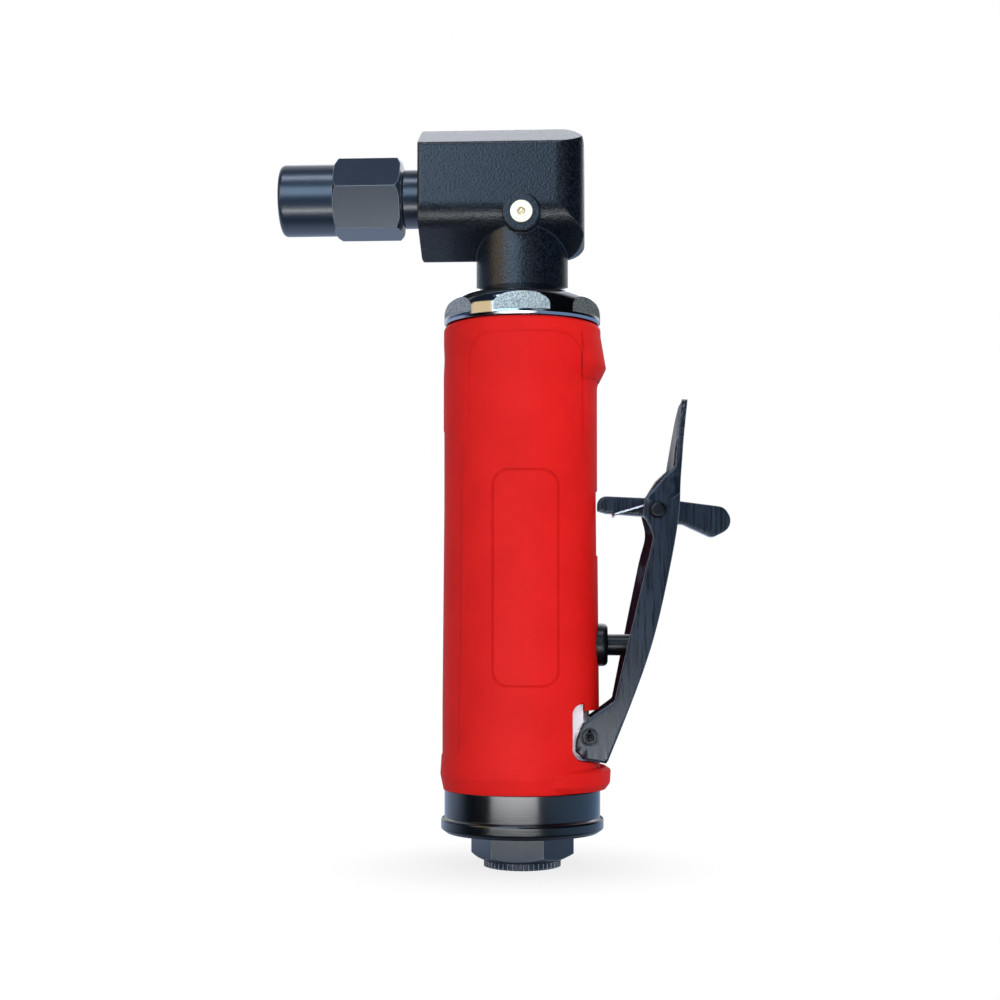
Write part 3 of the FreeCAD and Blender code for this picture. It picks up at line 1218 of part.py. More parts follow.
def main():
    os.makedirs("parts", exist_ok=True)
    rotor_heights = (MOTOR_FLOOR + 0.5, CYLINDER_TOP + 2.5)
    rotor_outers, rotor_inners = bearing_at(SMALL_BORE_R, SMALL_R, SMALL_W, rotor_heights)
    pinion_outers, pinion_inners = bearing_at(
        SMALL_BORE_R, SMALL_R, SMALL_W, (LOWER_BEARING_Z, UPPER_BEARING_Z)
    )
    front_outer, front_inner = bearing_at(FRONT_BORE_R, FRONT_R, FRONT_W, [FRONT_BEARING_S])
    rear_outer, rear_inner = bearing_at(REAR_BORE_R, REAR_R, REAR_W, [-REAR_BEARING_S - REAR_W])
    outer_spacer, inner_spacer = pinion_spacers()
    nodes = {
        "motor_housing": motor_housing(),
        "grip_sleeve": grip_sleeve(),
        "clamp_collar": clamp_collar(),
        "angle_head": angle_head(),
        "grease_fitting": grease_fitting(),
        "grease_fitting_ball": grease_fitting_ball(),
        "inlet_bushing": inlet_bushing(),
        "inlet_screen": inlet_screen(),
        "exhaust_ring": exhaust_ring(),
        "muffler_ring": muffler_ring(),
        "valve_seat": valve_seat(),
        "tilt_valve": tilt_valve(),
        "valve_spring": valve_spring(),
        "throttle_bush": throttle_bush(),
        "throttle_pin": throttle_pin(),
        "pin_clip": pin_clip(),
        "pin_o_ring": pin_o_ring(),
        "rear_end_plate": end_plate(MOTOR_FLOOR, rotor_heights[0], "top"),
        "front_end_plate": end_plate(CYLINDER_TOP, rotor_heights[1], "bottom"),
        "motor_cylinder": motor_cylinder(),
        "cylinder_dowels": cylinder_dowels(),
        "motor_clamp_ring": motor_clamp_ring(),
        "rotor": rotor(),
        "rotor_vanes": rotor_vanes(),
        "rotor_bearing_outer_rings": Part.makeCompound(rotor_outers),
        "rotor_bearing_inner_rings": Part.makeCompound(rotor_inners),
        "pinion_bearing_outer_rings": Part.makeCompound(pinion_outers),
        "pinion_bearing_inner_rings": Part.makeCompound(pinion_inners),
        "pinion_outer_spacer": outer_spacer,
        "pinion_inner_spacer": inner_spacer,
        "pinion_lock_ring": pinion_lock_ring(),
        "pinion_circlip": pinion_circlip(),
        "drive_pinion": drive_pinion(),
        "spindle": spindle(),
        "driven_gear": driven_gear(),
        "gear_key": gear_key(),
        "gear_clip": gear_clip(),
        "spindle_spacer": spindle_spacer(),
        "front_bearing_outer_ring": on_spindle(front_outer[0]),
        "front_bearing_inner_ring": on_spindle(front_inner[0]),
        "rear_bearing_outer_ring": on_spindle(rear_outer[0]),
        "rear_bearing_inner_ring": on_spindle(rear_inner[0]),
        "spindle_retainer": spindle_retainer(),
        "spindle_seal": spindle_seal(),
        "collet": collet(),
        "collet_nut": collet_nut(),
        "throttle_lever": throttle_lever(),
        "lever_hinge_pin": lever_hinge_pin(),
        "safety_latch": safety_latch(),
        "latch_pin": latch_pin(),
        "latch_spring": latch_spring(),
    }
    for name, shape in nodes.items():
        solids = shape.Solids
        print(name, len(solids), "solids", round(shape.Volume, 1), "mm3", shape.isValid())
        shape.exportStep(f"parts/{name}.step")


main()
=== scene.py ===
import math

import bmesh
import bpy
from mathutils import Matrix, Vector


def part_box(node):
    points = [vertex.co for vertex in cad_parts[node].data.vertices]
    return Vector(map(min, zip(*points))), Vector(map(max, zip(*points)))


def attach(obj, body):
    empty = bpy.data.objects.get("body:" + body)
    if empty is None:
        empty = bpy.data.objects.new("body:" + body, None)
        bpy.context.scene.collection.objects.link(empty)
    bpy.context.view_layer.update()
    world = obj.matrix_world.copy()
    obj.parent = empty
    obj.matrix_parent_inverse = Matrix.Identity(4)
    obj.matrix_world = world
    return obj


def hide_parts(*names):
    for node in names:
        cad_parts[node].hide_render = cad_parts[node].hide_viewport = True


# Right-angle air die grinder, in metres: the handle stands on +Z with its air inlet at the origin, the
# collet points to -X, the throttle lever is on the +X side and the near side is -Y.
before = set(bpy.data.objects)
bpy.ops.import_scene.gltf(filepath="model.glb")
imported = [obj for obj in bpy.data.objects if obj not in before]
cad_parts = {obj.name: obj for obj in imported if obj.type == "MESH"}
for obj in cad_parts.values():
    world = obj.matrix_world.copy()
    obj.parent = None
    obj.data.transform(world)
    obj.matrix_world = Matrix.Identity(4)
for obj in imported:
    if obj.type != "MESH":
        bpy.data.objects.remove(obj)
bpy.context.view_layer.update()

MM = 0.001

# The collar's outside, and the height where its milled flats begin over its round foot.
COLLAR_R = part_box("clamp_collar")[1][0]
COLLAR_FLATS_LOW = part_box("clamp_collar")[0][2] + 1.2 * MM

# The inlet bushing's knurled nose, and the pipe thread in its bore, 18 turns to the inch.
NOSE_R, NOSE_H = 8.65 * MM, 1.7 * MM
KNURL_RIDGES, KNURL_RIDGE_R = 46, 0.6 * MM
INLET_R = 5.7 * MM
THREAD_TURNS, THREAD_PITCH, THREAD_RIDGE_R, THREAD_LOW = 7.0, 1.41 * MM, 0.55 * MM, 1.2 * MM

# The lever's hinge, and its sheet.
HINGE_X, HINGE_Z = 15.9 * MM, 31.0 * MM
LEVER_HALF_W = 9.0 * MM
LEVER_SHEET = 1.3 * MM

# The latch's axis, and its spring: wire, coil, the two ends of the coil along the pin, and its turns.
LATCH_AXIS = Vector((31.6, 0.0, 83.2)) * MM
SPRING_WIRE = 0.7 * MM
SPRING_R = 2.1 * MM
SPRING_NEAR, SPRING_FAR = -3.25 * MM, -6.3 * MM
SPRING_FROM, SPRING_TO = math.radians(106), math.radians(-10 - 2 * 360)


# ---------------------------------------------------------------- small helpers
def linear(code):
    """A hex colour as it is seen on screen, as the linear RGBA that a shader takes."""
    parts = [int(code[i:i + 2], 16) / 255 for i in (1, 3, 5)]
    return [p / 12.92 if p <= 0.04045 else ((p + 0.055) / 1.055) ** 2.4 for p in parts] + [1.0]


def feed(target, inputs):
    """Sets a node's inputs, by name or number, to a number, a hex colour, or what another node gives."""
    for name, value in inputs.items():
        if isinstance(value, bpy.types.Node):
            value = next(output for output in value.outputs if output.enabled)
        if isinstance(value, bpy.types.NodeSocket):
            target.id_data.links.new(value, target.inputs[name])
        else:
            target.inputs[name].default_value = linear(value) if isinstance(value, str) else value


def node(tree, kind, inputs=None, **settings):
    """Adds one node with its settings, and feeds its inputs."""
    new = tree.nodes.new(kind)
    for name, value in settings.items():
        setattr(new, name, value)
    feed(new, inputs or {})
    return new


def in_scene(name, data):
    """A new object at the origin."""
    made = bpy.data.objects.new(name, data)
    bpy.context.scene.collection.objects.link(made)
    return made


# ---------------------------------------------------------------- patterns that the finishes share
def grain(tree, size, detail=2.0, roughness=0.5, stretch=(1, 1, 1)):
    """Cloudy pattern from 0 to 1 whose lumps are about size metres across."""
    place = node(tree, "ShaderNodeTexCoord").outputs["Object"]
    at = node(tree, "ShaderNodeMapping", {"Vector": place, "Scale": stretch})
    return node(tree, "ShaderNodeTexNoise", {
        "Vector": at, "Scale": 1 / size, "Detail": detail, "Roughness": roughness,
    })


def fade(tree, value, low, high, first=0.0, second=1.0):
    """first up to where value is low and second from where it is high, smoothly between. Both are numbers,
    or both are colours: hex codes or what another node gives. A colour Mix takes them at inputs 6 and 7."""
    plain = not isinstance(first, (str, bpy.types.Node))
    share = node(tree, "ShaderNodeMapRange", {
        "Value": value, "From Min": low, "From Max": high,
        "To Min": first if plain else 0.0, "To Max": second if plain else 1.0,
    }, interpolation_type="SMOOTHSTEP", clamp=True)
    return share if plain else node(tree, "ShaderNodeMix", {0: share, 6: first, 7: second}, data_type="RGBA")


def skin(tree, height, depth, edge):
    """Normal of a surface whose height goes from 0 to depth metres and whose sharp edges are rounded to edge
    metres."""
    rounded = node(tree, "ShaderNodeBevel", {"Radius": edge}, samples=8)
    return node(tree, "ShaderNodeBump", {
        "Height": height, "Distance": depth, "Strength": 1.0, "Normal": rounded,
    })


def worn_edges_and_painted_highlight(tree, radius, coat, bare):
    """The colour coat, turned to bare along sharp edges, where the rounded normal leans from the true one:
    partly real wear to bare metal, partly a painted highlight that stands in for the light the edges catch.
    bare is that pale colour of worn metal and painted highlight.
    """
    rounded = node(tree, "ShaderNodeBevel", {"Radius": radius}, samples=6)
    true = node(tree, "ShaderNodeNewGeometry").outputs["Normal"]
    lean = node(tree, "ShaderNodeVectorMath", {0: rounded, 1: true}, operation="DOT_PRODUCT")
    away = node(tree, "ShaderNodeMath", {0: 1.0, 1: lean}, operation="SUBTRACT")
    return fade(tree, away, 0.015, 0.16, coat, bare)


def finish(name, colour, shader):
    """A new material, its tree and its Principled shader, which gets a plain colour and the given values."""
    made = bpy.data.materials.new(name)
    made.use_nodes = True
    body = made.node_tree.nodes["Principled BSDF"]
    feed(body, {"Base Color": colour, **shader})
    return made, made.node_tree, body


# ---------------------------------------------------------------- finishes
def moulded_elastomer():
    """Red thermoplastic elastomer moulded over the housing: deep even red, and dull, because the mould's
    spark texture scatters its gloss. The texture is drawn at 0.4 mm, coarser than it is, so that it shows.
    High on the grip the pads run out softly; lower down the frame round its front keeps a crisp edge."""
    made, tree, body = finish("red_moulded_elastomer", "#DE1814", {
        "Roughness": 0.6, "Specular IOR Level": 0.12,
    })
    place = node(tree, "ShaderNodeTexCoord").outputs["Object"]
    height = node(tree, "ShaderNodeSeparateXYZ", {"Vector": place}).outputs["Z"]
    edge = fade(tree, height, 90 * MM, 94 * MM, 0.3 * MM, 2.5 * MM)
    feed(body, {
        "Base Color": fade(tree, grain(tree, 14 * MM, 3.0, 0.6), 0.3, 0.7, "#D91614", "#E21A18"),
        "Normal": skin(tree, grain(tree, 0.4 * MM, 3.0), 0.015 * MM, edge),
    })
    return made


def textured_powder_coat():
    """Black powder coat on the cast head: a close pebbled skin, grains 0.5 mm apart, that glints blue
    where the light grazes it."""
    made, tree, body = finish("black_textured_powder_coat", "#0A1420", {"Roughness": 0.34, "IOR": 1.55})
    pebbles = grain(tree, 0.5 * MM, 1.5, 0.55)
    feed(body, {
        "Base Color": fade(tree, pebbles, 0.4, 0.62, "#03060A", "#0E1A28"),
        "Normal": skin(tree, pebbles, 0.085 * MM, 0.6 * MM),
    })
    return made


def black_nickel():
    """Polished black nickel on the turned collar: a dark mirror. Its six milled flats are dull and pale
    with a fine sparkling grain. They are what stands upright inside the collar's round, above its foot."""
    made, tree, body = finish("polished_black_nickel", "#A2A4AA", {"Metallic": 1.0})
    place = node(tree, "ShaderNodeTexCoord").outputs["Object"]
    level = node(tree, "ShaderNodeVectorMath", {0: place, 1: (1, 1, 0)}, operation="MULTIPLY")
    reach = node(tree, "ShaderNodeVectorMath", {0: level}, operation="LENGTH")
    facing = node(tree, "ShaderNodeNewGeometry").outputs["True Normal"]
    upward = node(tree, "ShaderNodeSeparateXYZ", {"Vector": facing}).outputs["Z"]
    height = node(tree, "ShaderNodeSeparateXYZ", {"Vector": place}).outputs["Z"]
    inside = fade(tree, reach, COLLAR_R - 0.05 * MM, COLLAR_R - 0.02 * MM, 1.0, 0.0)
    upright = fade(tree, upward, 0.02, 0.04, 1.0, 0.0)
    over_foot = fade(tree, height, COLLAR_FLATS_LOW - 0.02 * MM, COLLAR_FLATS_LOW)
    milled = node(tree, "ShaderNodeMath", {0: inside, 1: upright}, operation="MULTIPLY")
    milled = node(tree, "ShaderNodeMath", {0: milled, 1: over_foot}, operation="MULTIPLY")
    marks = grain(tree, 0.3 * MM, 2.0, 0.6)
    depth = node(tree, "ShaderNodeMath", {0: marks, 1: milled}, operation="MULTIPLY")
    pale = fade(tree, marks, 0.35, 0.65, "#A8A89C", "#FFF8EA")
    feed(body, {
        "Base Color": node(tree, "ShaderNodeMix", {0: milled, 6: "#A2A4AA", 7: pale}, data_type="RGBA"),
        "Roughness": fade(tree, milled, 0.0, 1.0, 0.12, 0.4),
        "Normal": skin(tree, depth, 0.03 * MM, 0.2 * MM),
    })
    return made


def black_anodised():
    """Black anodised aluminium on the exhaust ring: a dense glassy layer, semi-gloss over turning marks that
    run round it. They are drawn 0.3 mm apart, coarser than they are, so that they show."""
    made, tree, body = finish("black_anodised_aluminium", "#070A10", {"Roughness": 0.2, "IOR": 1.7})
    marks = grain(tree, 0.3 * MM, 2.0, 0.6, (0.05, 0.05, 1.0))
    feed(body, {"Normal": skin(tree, marks, 0.006 * MM, 0.25 * MM)})
    return made


def black_oxide(name, colour, roughness, edge_wear_and_highlight, ior):
    """Black oxide on machined steel: dull blue-black, its corners pale, partly worn to bare metal and partly
    a painted highlight along the edges. Its fine grain is drawn at 0.3 mm, so that it just shows."""
    made, tree, body = finish(name, colour, {"Roughness": roughness, "IOR": ior})
    feed(body, {
        # Pale corners: partly worn to bare metal, partly a painted highlight.
        "Base Color": worn_edges_and_painted_highlight(tree, 0.3 * MM, colour, edge_wear_and_highlight),
        "Normal": skin(tree, grain(tree, 0.3 * MM, 2.0, 0.6), 0.01 * MM, 0.25 * MM),
    })
    return made


def black_pressing():
    """Black baked paint on the pressed lever and latch: glossy blue-black over the rolled sheet's streaks,
    which are 0.4 mm wide and some 8 mm long, and pale along the sheared edges, partly where the paint is worn
    and partly as a painted highlight. The wide rounding is the fold of the sheet."""
    made, tree, body = finish("black_baked_paint_on_steel", "#1A2B3C", {"IOR": 1.55})
    streaks = grain(tree, 0.4 * MM, 3.0, 0.55, (1, 1, 0.05))
    paint = fade(tree, streaks, 0.3, 0.7, "#0D1723", "#17273A")
    feed(body, {
        # Pale sheared edges: partly worn paint, partly a painted highlight.
        "Base Color": worn_edges_and_painted_highlight(tree, 0.25 * MM, paint, "#93A3B5"),
        "Roughness": fade(tree, streaks, 0.3, 0.7, 0.24, 0.36),
        "Normal": skin(tree, streaks, 0.003 * MM, 1.1 * MM),
    })
    return made


def bright_metal(name, colour, roughness, grain_size=0.2 * MM, bare=1.0):
    """A machined or plated metal: tool marks, drawn just coarse enough to show, that break up its gloss.
    Where bare is under 1 the skin is dulled, and scatters part of the light."""
    made, tree, body = finish(name, colour, {"Metallic": bare})
    marks = grain(tree, grain_size, 3.0, 0.6, (1, 1, 6))
    feed(body, {
        "Roughness": fade(tree, marks, 0.3, 0.7, roughness * 0.8, roughness * 1.25),
        "Normal": skin(tree, marks, 0.003 * MM, 0.1 * MM),
    })
    return made


def dull_solid(name, colour, roughness, grain_size, depth):
    """A dull or porous solid inside the handle, with its own grain."""
    made, tree, body = finish(name, colour, {"Roughness": roughness})
    lumps = grain(tree, grain_size, 4.0, 0.6)
    bumps = node(tree, "ShaderNodeBump", {"Height": lumps, "Distance": depth, "Strength": 1.0})
    feed(body, {"Normal": bumps})
    return made


# Each finish and the CAD parts that have it, with what it gives the eye where its function doesn't say.
FINISHES = [
    (moulded_elastomer(), ["grip_sleeve"]),
    (textured_powder_coat(), ["angle_head"]),
    (black_nickel(), ["clamp_collar"]),
    (black_anodised(), ["exhaust_ring"]),
    # Turned and milled steel, blackened in salts: cold blue-black with a long soft gloss; its pale edges are
    # part wear, part painted highlight.
    (black_oxide("black_oxide_steel", "#1A293C", 0.28, "#A9B7C6", 1.7), [
        "collet_nut", "inlet_bushing", "spindle_retainer", "collet", "spindle",
    ]),
    # Drawn rod, blackened and oiled: nearly black, with little to rub bare; its faintly pale edges are part
    # wear, part painted highlight.
    (black_oxide("blackened_pin_steel", "#05090F", 0.35, "#2C3642", 1.5), [
        "lever_hinge_pin", "latch_pin", "throttle_pin", "throttle_bush",
    ]),
    (black_pressing(), ["throttle_lever", "safety_latch"]),
    # Bright nickel on a small fitting: pale, warm and a little clouded by grease.
    (bright_metal("bright_nickel_plate", "#FFF6D6", 0.35, bare=0.5), [
        "grease_fitting", "grease_fitting_ball",
    ]),
    # Machined aluminium with its own grey skin: nearly white in soft light.
    (bright_metal("machined_aluminium", "#EDEAF2", 0.4, bare=0.45), ["motor_housing", "motor_clamp_ring"]),
    # Hardened and ground steel: neutral grey, with a tight clean gloss.
    (bright_metal("ground_steel", "#B9BCC1", 0.25), [
        "rotor", "rotor_bearing_outer_rings", "rotor_bearing_inner_rings",
        "pinion_bearing_outer_rings", "pinion_bearing_inner_rings", "pinion_outer_spacer",
        "pinion_inner_spacer", "pinion_lock_ring", "pinion_circlip", "drive_pinion", "driven_gear",
        "gear_key", "gear_clip", "spindle_spacer", "front_bearing_outer_ring", "front_bearing_inner_ring",
        "rear_bearing_outer_ring", "rear_bearing_inner_ring", "cylinder_dowels", "pin_clip",
    ]),
    # Honed cast iron: dark grey and satin, over coarser grains.
    (bright_metal("cast_iron", "#7C7E80", 0.5, 0.5 * MM), [
        "motor_cylinder", "rear_end_plate", "front_end_plate",
    ]),
    # Turned bronze: warm brown-gold.
    (bright_metal("bronze", "#B98C50", 0.3), ["valve_seat"]),
    # Hard-drawn spring wire: bright grey, with sharp lights along the wire.
    (bright_metal("spring_steel", "#C2C6CC", 0.25), ["valve_spring", "latch_spring"]),
    # Moulded nitrile rubber: soft even black.
    (dull_solid("nitrile_rubber", "#141414", 0.5, 0.4 * MM, 0.004 * MM), [
        "tilt_valve", "pin_o_ring", "spindle_seal",
    ]),
    # Cloth-filled phenolic board, sawn: brown and matt, with a shallow weave.
    (dull_solid("phenolic_laminate", "#5C3A22", 0.5, 0.3 * MM, 0.01 * MM), ["rotor_vanes"]),
    # Pressed wool felt: grey, without gloss, and fuzzy.
    (dull_solid("pressed_felt", "#8C8A82", 0.95, 0.3 * MM, 0.08 * MM), ["muffler_ring"]),
    # Sintered bronze: grains of 0.3 mm that leave it a dull old gold.
    (dull_solid("sintered_bronze", "#9A7B4A", 0.6, 0.3 * MM, 0.04 * MM), ["inlet_screen"]),
]
for made, names in FINISHES:
    for name in names:
        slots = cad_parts[name].data.materials
        slots.clear()
        slots.append(made)


# ---------------------------------------------------------------- pieces: how they are made
def as_mesh(name, source):
    """What a curve or an object with a modifier looks like, as a plain mesh; the object itself goes."""
    bpy.context.view_layer.update()
    mesh = bpy.data.meshes.new_from_object(source.evaluated_get(bpy.context.evaluated_depsgraph_get()))
    bpy.data.objects.remove(source)
    mesh.name = name
    return mesh


def finish_of(part):
    """The material of one of the CAD parts."""
    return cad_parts[part].data.materials[0]


def smooth_piece(name, mesh, part):
    """A piece with this mesh, shaded smooth, in the finish of a CAD part."""
    mesh.materials.clear()
    mesh.materials.append(finish_of(part))
    for face in mesh.polygons:
        face.use_smooth = True
    return in_scene(name, mesh)


def shape_tree(name, inputs):
    """A Geometry Nodes tree with the named inputs and a material, and those inputs."""
    tree = bpy.data.node_groups.new(name, "GeometryNodeTree")
    for title, kind in {**inputs, "Material": "NodeSocketMaterial"}.items():
        tree.interface.new_socket(title, in_out="INPUT", socket_type=kind)
    tree.interface.new_socket("Geometry", in_out="OUTPUT", socket_type="NodeSocketGeometry")
    return tree, node(tree, "NodeGroupInput").outputs


def end_tree(tree, given, shape):
    """Ends a tree: its copies are made real and take its material."""
    real = node(tree, "GeometryNodeRealizeInstances", {"Geometry": shape})
    done = node(tree, "GeometryNodeSetMaterial", {"Geometry": real, "Material": given["Material"]})
    node(tree, "NodeGroupOutput", {"Geometry": done})
    return tree


def from_tree(name, tree, values):
    """A piece made by a Geometry Nodes tree whose named inputs are set to values."""
    seed = in_scene(name + "_seed", bpy.data.meshes.new(name + "_seed"))
    modifier = seed.modifiers.new("shape", "NODES")
    modifier.node_group = tree
    for item in tree.interface.items_tree:
        if item.in_out == "INPUT":
            modifier[item.identifier] = values[item.name]
    return in_scene(name, as_mesh(name, seed))


def ridge_ring_tree():
    """Upright three-sided ridges spaced evenly round the Z axis."""
    tree, given = shape_tree("ridge_ring", {
        "Count": "NodeSocketInt", "Radius": "NodeSocketFloat", "Ridge Radius": "NodeSocketFloat",
        "Height": "NodeSocketFloat",
    })
    ring = node(tree, "GeometryNodeMeshCircle", {"Vertices": given["Count"], "Radius": given["Radius"]})
    ridge = node(tree, "GeometryNodeMeshCylinder", {
        "Vertices": 3, "Radius": given["Ridge Radius"], "Depth": given["Height"],
    })
    outward = node(tree, "FunctionNodeAlignRotationToVector", {
        "Vector": node(tree, "GeometryNodeInputPosition"),
    }, axis="X")
    ridges = node(tree, "GeometryNodeInstanceOnPoints", {
        "Points": ring, "Instance": ridge, "Rotation": outward,
    })
    return end_tree(tree, given, ridges)


def thread_tree():
    """A round ridge that winds up the Z axis."""
    tree, given = shape_tree("thread", {
        "Turns": "NodeSocketFloat", "Radius": "NodeSocketFloat", "Ridge Radius": "NodeSocketFloat",
        "Length": "NodeSocketFloat",
    })
    path = node(tree, "GeometryNodeCurveSpiral", {
        "Resolution": 32, "Rotations": given["Turns"], "Start Radius": given["Radius"],
        "End Radius": given["Radius"], "Height": given["Length"],
    })
    section = node(tree, "GeometryNodeCurvePrimitiveCircle", {
        "Resolution": 6, "Radius": given["Ridge Radius"],
    })
    ridge = node(tree, "GeometryNodeCurveToMesh", {
        "Curve": path, "Profile Curve": section, "Fill Caps": True,
    })
    return end_tree(tree, given, ridge)


# ---------------------------------------------------------------- pieces: inlet, spring, lever and its pin
def inlet_details():
    """Knurl round the inlet bushing's nose, sunk a little into it, and the pipe thread in its bore."""
    steel = finish_of("inlet_bushing")
    knurl = from_tree("inlet_knurl", ridge_ring_tree(), {
        "Count": KNURL_RIDGES, "Radius": NOSE_R - 0.2 * MM, "Ridge Radius": KNURL_RIDGE_R,
        "Height": NOSE_H - 0.3 * MM, "Material": steel,
    })
    knurl.data.transform(Matrix.Translation((0, 0, NOSE_H / 2)))
    thread = from_tree("inlet_thread", thread_tree(), {
        "Turns": THREAD_TURNS, "Radius": INLET_R + 0.1 * MM, "Ridge Radius": THREAD_RIDGE_R,
        "Length": THREAD_TURNS * THREAD_PITCH, "Material": steel,
    })
    thread.data.transform(Matrix.Translation((0, 0, THREAD_LOW)))
    for piece in (knurl, thread):
        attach(piece, "handle")


def wire(name, points):
    """A round spring wire along the points, which are given from the latch's axis."""
    curve = bpy.data.curves.new(name, "CURVE")
    curve.dimensions = "3D"
    curve.bevel_depth = SPRING_WIRE / 2
    curve.bevel_resolution = 3
    curve.use_fill_caps = True
    spline = curve.splines.new("POLY")
    spline.points.add(len(points) - 1)
    for knot, point in zip(spline.points, points):
        knot.co = (*(point + LATCH_AXIS), 1.0)
    return smooth_piece(name, as_mesh(name, in_scene(name + "_path", curve)), "latch_spring")


def wire_spring():
    """The latch's torsion spring in round wire: its turns on the pin with one leg down to the lever, and
    the leg under the latch's arm, which swings with the latch."""
    steps = 56
    turns = []
    for step in range(steps + 1):
        share = step / steps
        turn = SPRING_FROM + (SPRING_TO - SPRING_FROM) * share
        along = SPRING_NEAR + (SPRING_FAR - SPRING_NEAR) * share
        turns.append(Vector((SPRING_R * math.cos(turn), along, SPRING_R * math.sin(turn))))
    coil = wire("latch_spring_coil", turns + [Vector((1.9 * MM, SPRING_FAR, -7.0 * MM))])
    under_arm = [(-10.2, 1.5, -0.95), (-10.2, -2.55, -0.78), (-10.0, -3.1, -0.72), (-9.5, -3.25, -0.56)]
    leg = wire("latch_spring_leg", [Vector(point) * MM for point in under_arm] + turns[:1])
    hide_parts("latch_spring")
    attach(coil, "lever")
    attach(leg, "latch")


# Section of the cup in each end of the hinge pin, in millimetres: radius, and depth from the pin's end. It
# runs from the cup's floor over its lip and back inside the pin.
PIN_CUP = [(0.0, 0.9), (0.35, 0.8), (0.62, 0.35), (0.85, 0.25), (1.0, 0.5), (1.0, 1.4), (0.0, 1.4)]
PIN_CUP_SIDES = 24


def hinge_pin_ends():
    """The upset ends of the hinge pin's hollow: a shallow dark cup in each end of its bore."""
    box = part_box("lever_hinge_pin")
    form = bmesh.new()
    for side, end in ((-1, box[0][1]), (1, box[1][1])):
        rings = []
        for radius, deep in PIN_CUP:
            centre = Vector((HINGE_X, end - side * deep * MM, HINGE_Z))
            angles = [math.tau * k / PIN_CUP_SIDES for k in range(PIN_CUP_SIDES if radius else 1)]
            rings.append([
                form.verts.new(centre + radius * MM * Vector((math.cos(a), 0, math.sin(a)))) for a in angles
            ])
        for first, second in zip(rings, rings[1:]):
            for k in range(PIN_CUP_SIDES):
                corners = [first[k % len(first)], first[(k + 1) % len(first)],
                           second[(k + 1) % len(second)], second[k % len(second)]]
                form.faces.new(list(dict.fromkeys(corners)))
    bmesh.ops.recalc_face_normals(form, faces=form.faces)
    mesh = bpy.data.meshes.new("hinge_pin_ends")
    form.to_mesh(mesh)
    form.free()
    piece = smooth_piece("hinge_pin_ends", mesh, "lever_hinge_pin")
    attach(piece, "handle")


# The lever's pressed forms, in millimetres: how much narrower the near flange is, and how far the tab's far
# edge is dished towards the grip, by height over the hinge. The near edge is dished by a share of that.
NEAR_FLANGE = [(6.0, 0.0), (9.0, 0.6), (26.9, 1.2), (41.5, 1.7), (46.0, 1.5), (50.5, 0.0)]
TAB_DISH = [(54.0, 0.0), (60.0, 2.2), (69.5, 1.2), (79.0, 0.2)]
NEAR_DISH_SHARE = 0.25

# The line that parts a flange's free edge from its fold: its reach from the hinge at the hinge's height, and
# how much that grows with height. Then the planes where the tab's faces are cut, so that they can bend.
FLANGE_MIDDLE, FLANGE_LEAN = 7.4, 0.135
TAB_CUTS_Y = (-6.75, -4.5, -2.25, 0.0, 2.25, 4.5, 6.75)
TAB_CUTS_Z = (57, 60, 63, 66, 69, 72, 75)


def stepped(table, at):
    """The value in a table of (place, value), in straight steps between its places and 0 outside them."""
    for (low, first), (high, second) in zip(table, table[1:]):
        if low <= at <= high:
            return first + (second - first) * (at - low) / (high - low)
    return 0.0


def pressed_lever():
    """The lever as pressed sheet: its tab is dished, and one flange is a little narrower than the other."""
    form = bmesh.new()
    form.from_mesh(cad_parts["throttle_lever"].data)
    bmesh.ops.remove_doubles(form, verts=form.verts, dist=0.001 * MM)
    cuts = [((0, y * MM, 0), (0, 1, 0)) for y in TAB_CUTS_Y]
    cuts += [((0, 0, HINGE_Z + z * MM), (0, 0, 1)) for z in TAB_CUTS_Z]
    for point, normal in cuts:
        everything = form.verts[:] + form.edges[:] + form.faces[:]
        bmesh.ops.bisect_plane(form, geom=everything, dist=0.0005 * MM, plane_co=point, plane_no=normal)
    inside_flange = LEVER_HALF_W - LEVER_SHEET - 0.05 * MM
    for corner in form.verts:
        over = (corner.co.z - HINGE_Z) / MM
        free_edge = corner.co.x - HINGE_X < (FLANGE_MIDDLE + FLANGE_LEAN * over) * MM
        if corner.co.y < -inside_flange and free_edge:
            corner.co.x += stepped(NEAR_FLANGE, over) * MM
        dish = stepped(TAB_DISH, over) * MM * (corner.co.y / LEVER_HALF_W) ** 2
        corner.co.x -= dish if corner.co.y > 0 else NEAR_DISH_SHARE * dish
    bmesh.ops.triangulate(form, faces=form.faces)
    mesh = bpy.data.meshes.new("lever_sheet")
    form.to_mesh(mesh)
    form.free()
    piece = smooth_piece("lever_sheet", mesh, "throttle_lever")
    mesh.set_sharp_from_angle(angle=math.radians(30))
    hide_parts("throttle_lever")
    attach(piece, "lever")


inlet_details()
wire_spring()
pressed_lever()
hinge_pin_ends()

# ---------------------------------------------------------------- studio
# What shines in the room as seen in the object's gloss: direction, the cosines of the angle off that
# direction at which it starts and is full, and colour.
PANELS = [
    ((-0.97, 0.0, 0.0), 0.80, 0.95, "#3C5278"),
    ((0.45, -0.89, 0.06), 0.975, 0.992, "#C4D6EA"),
]

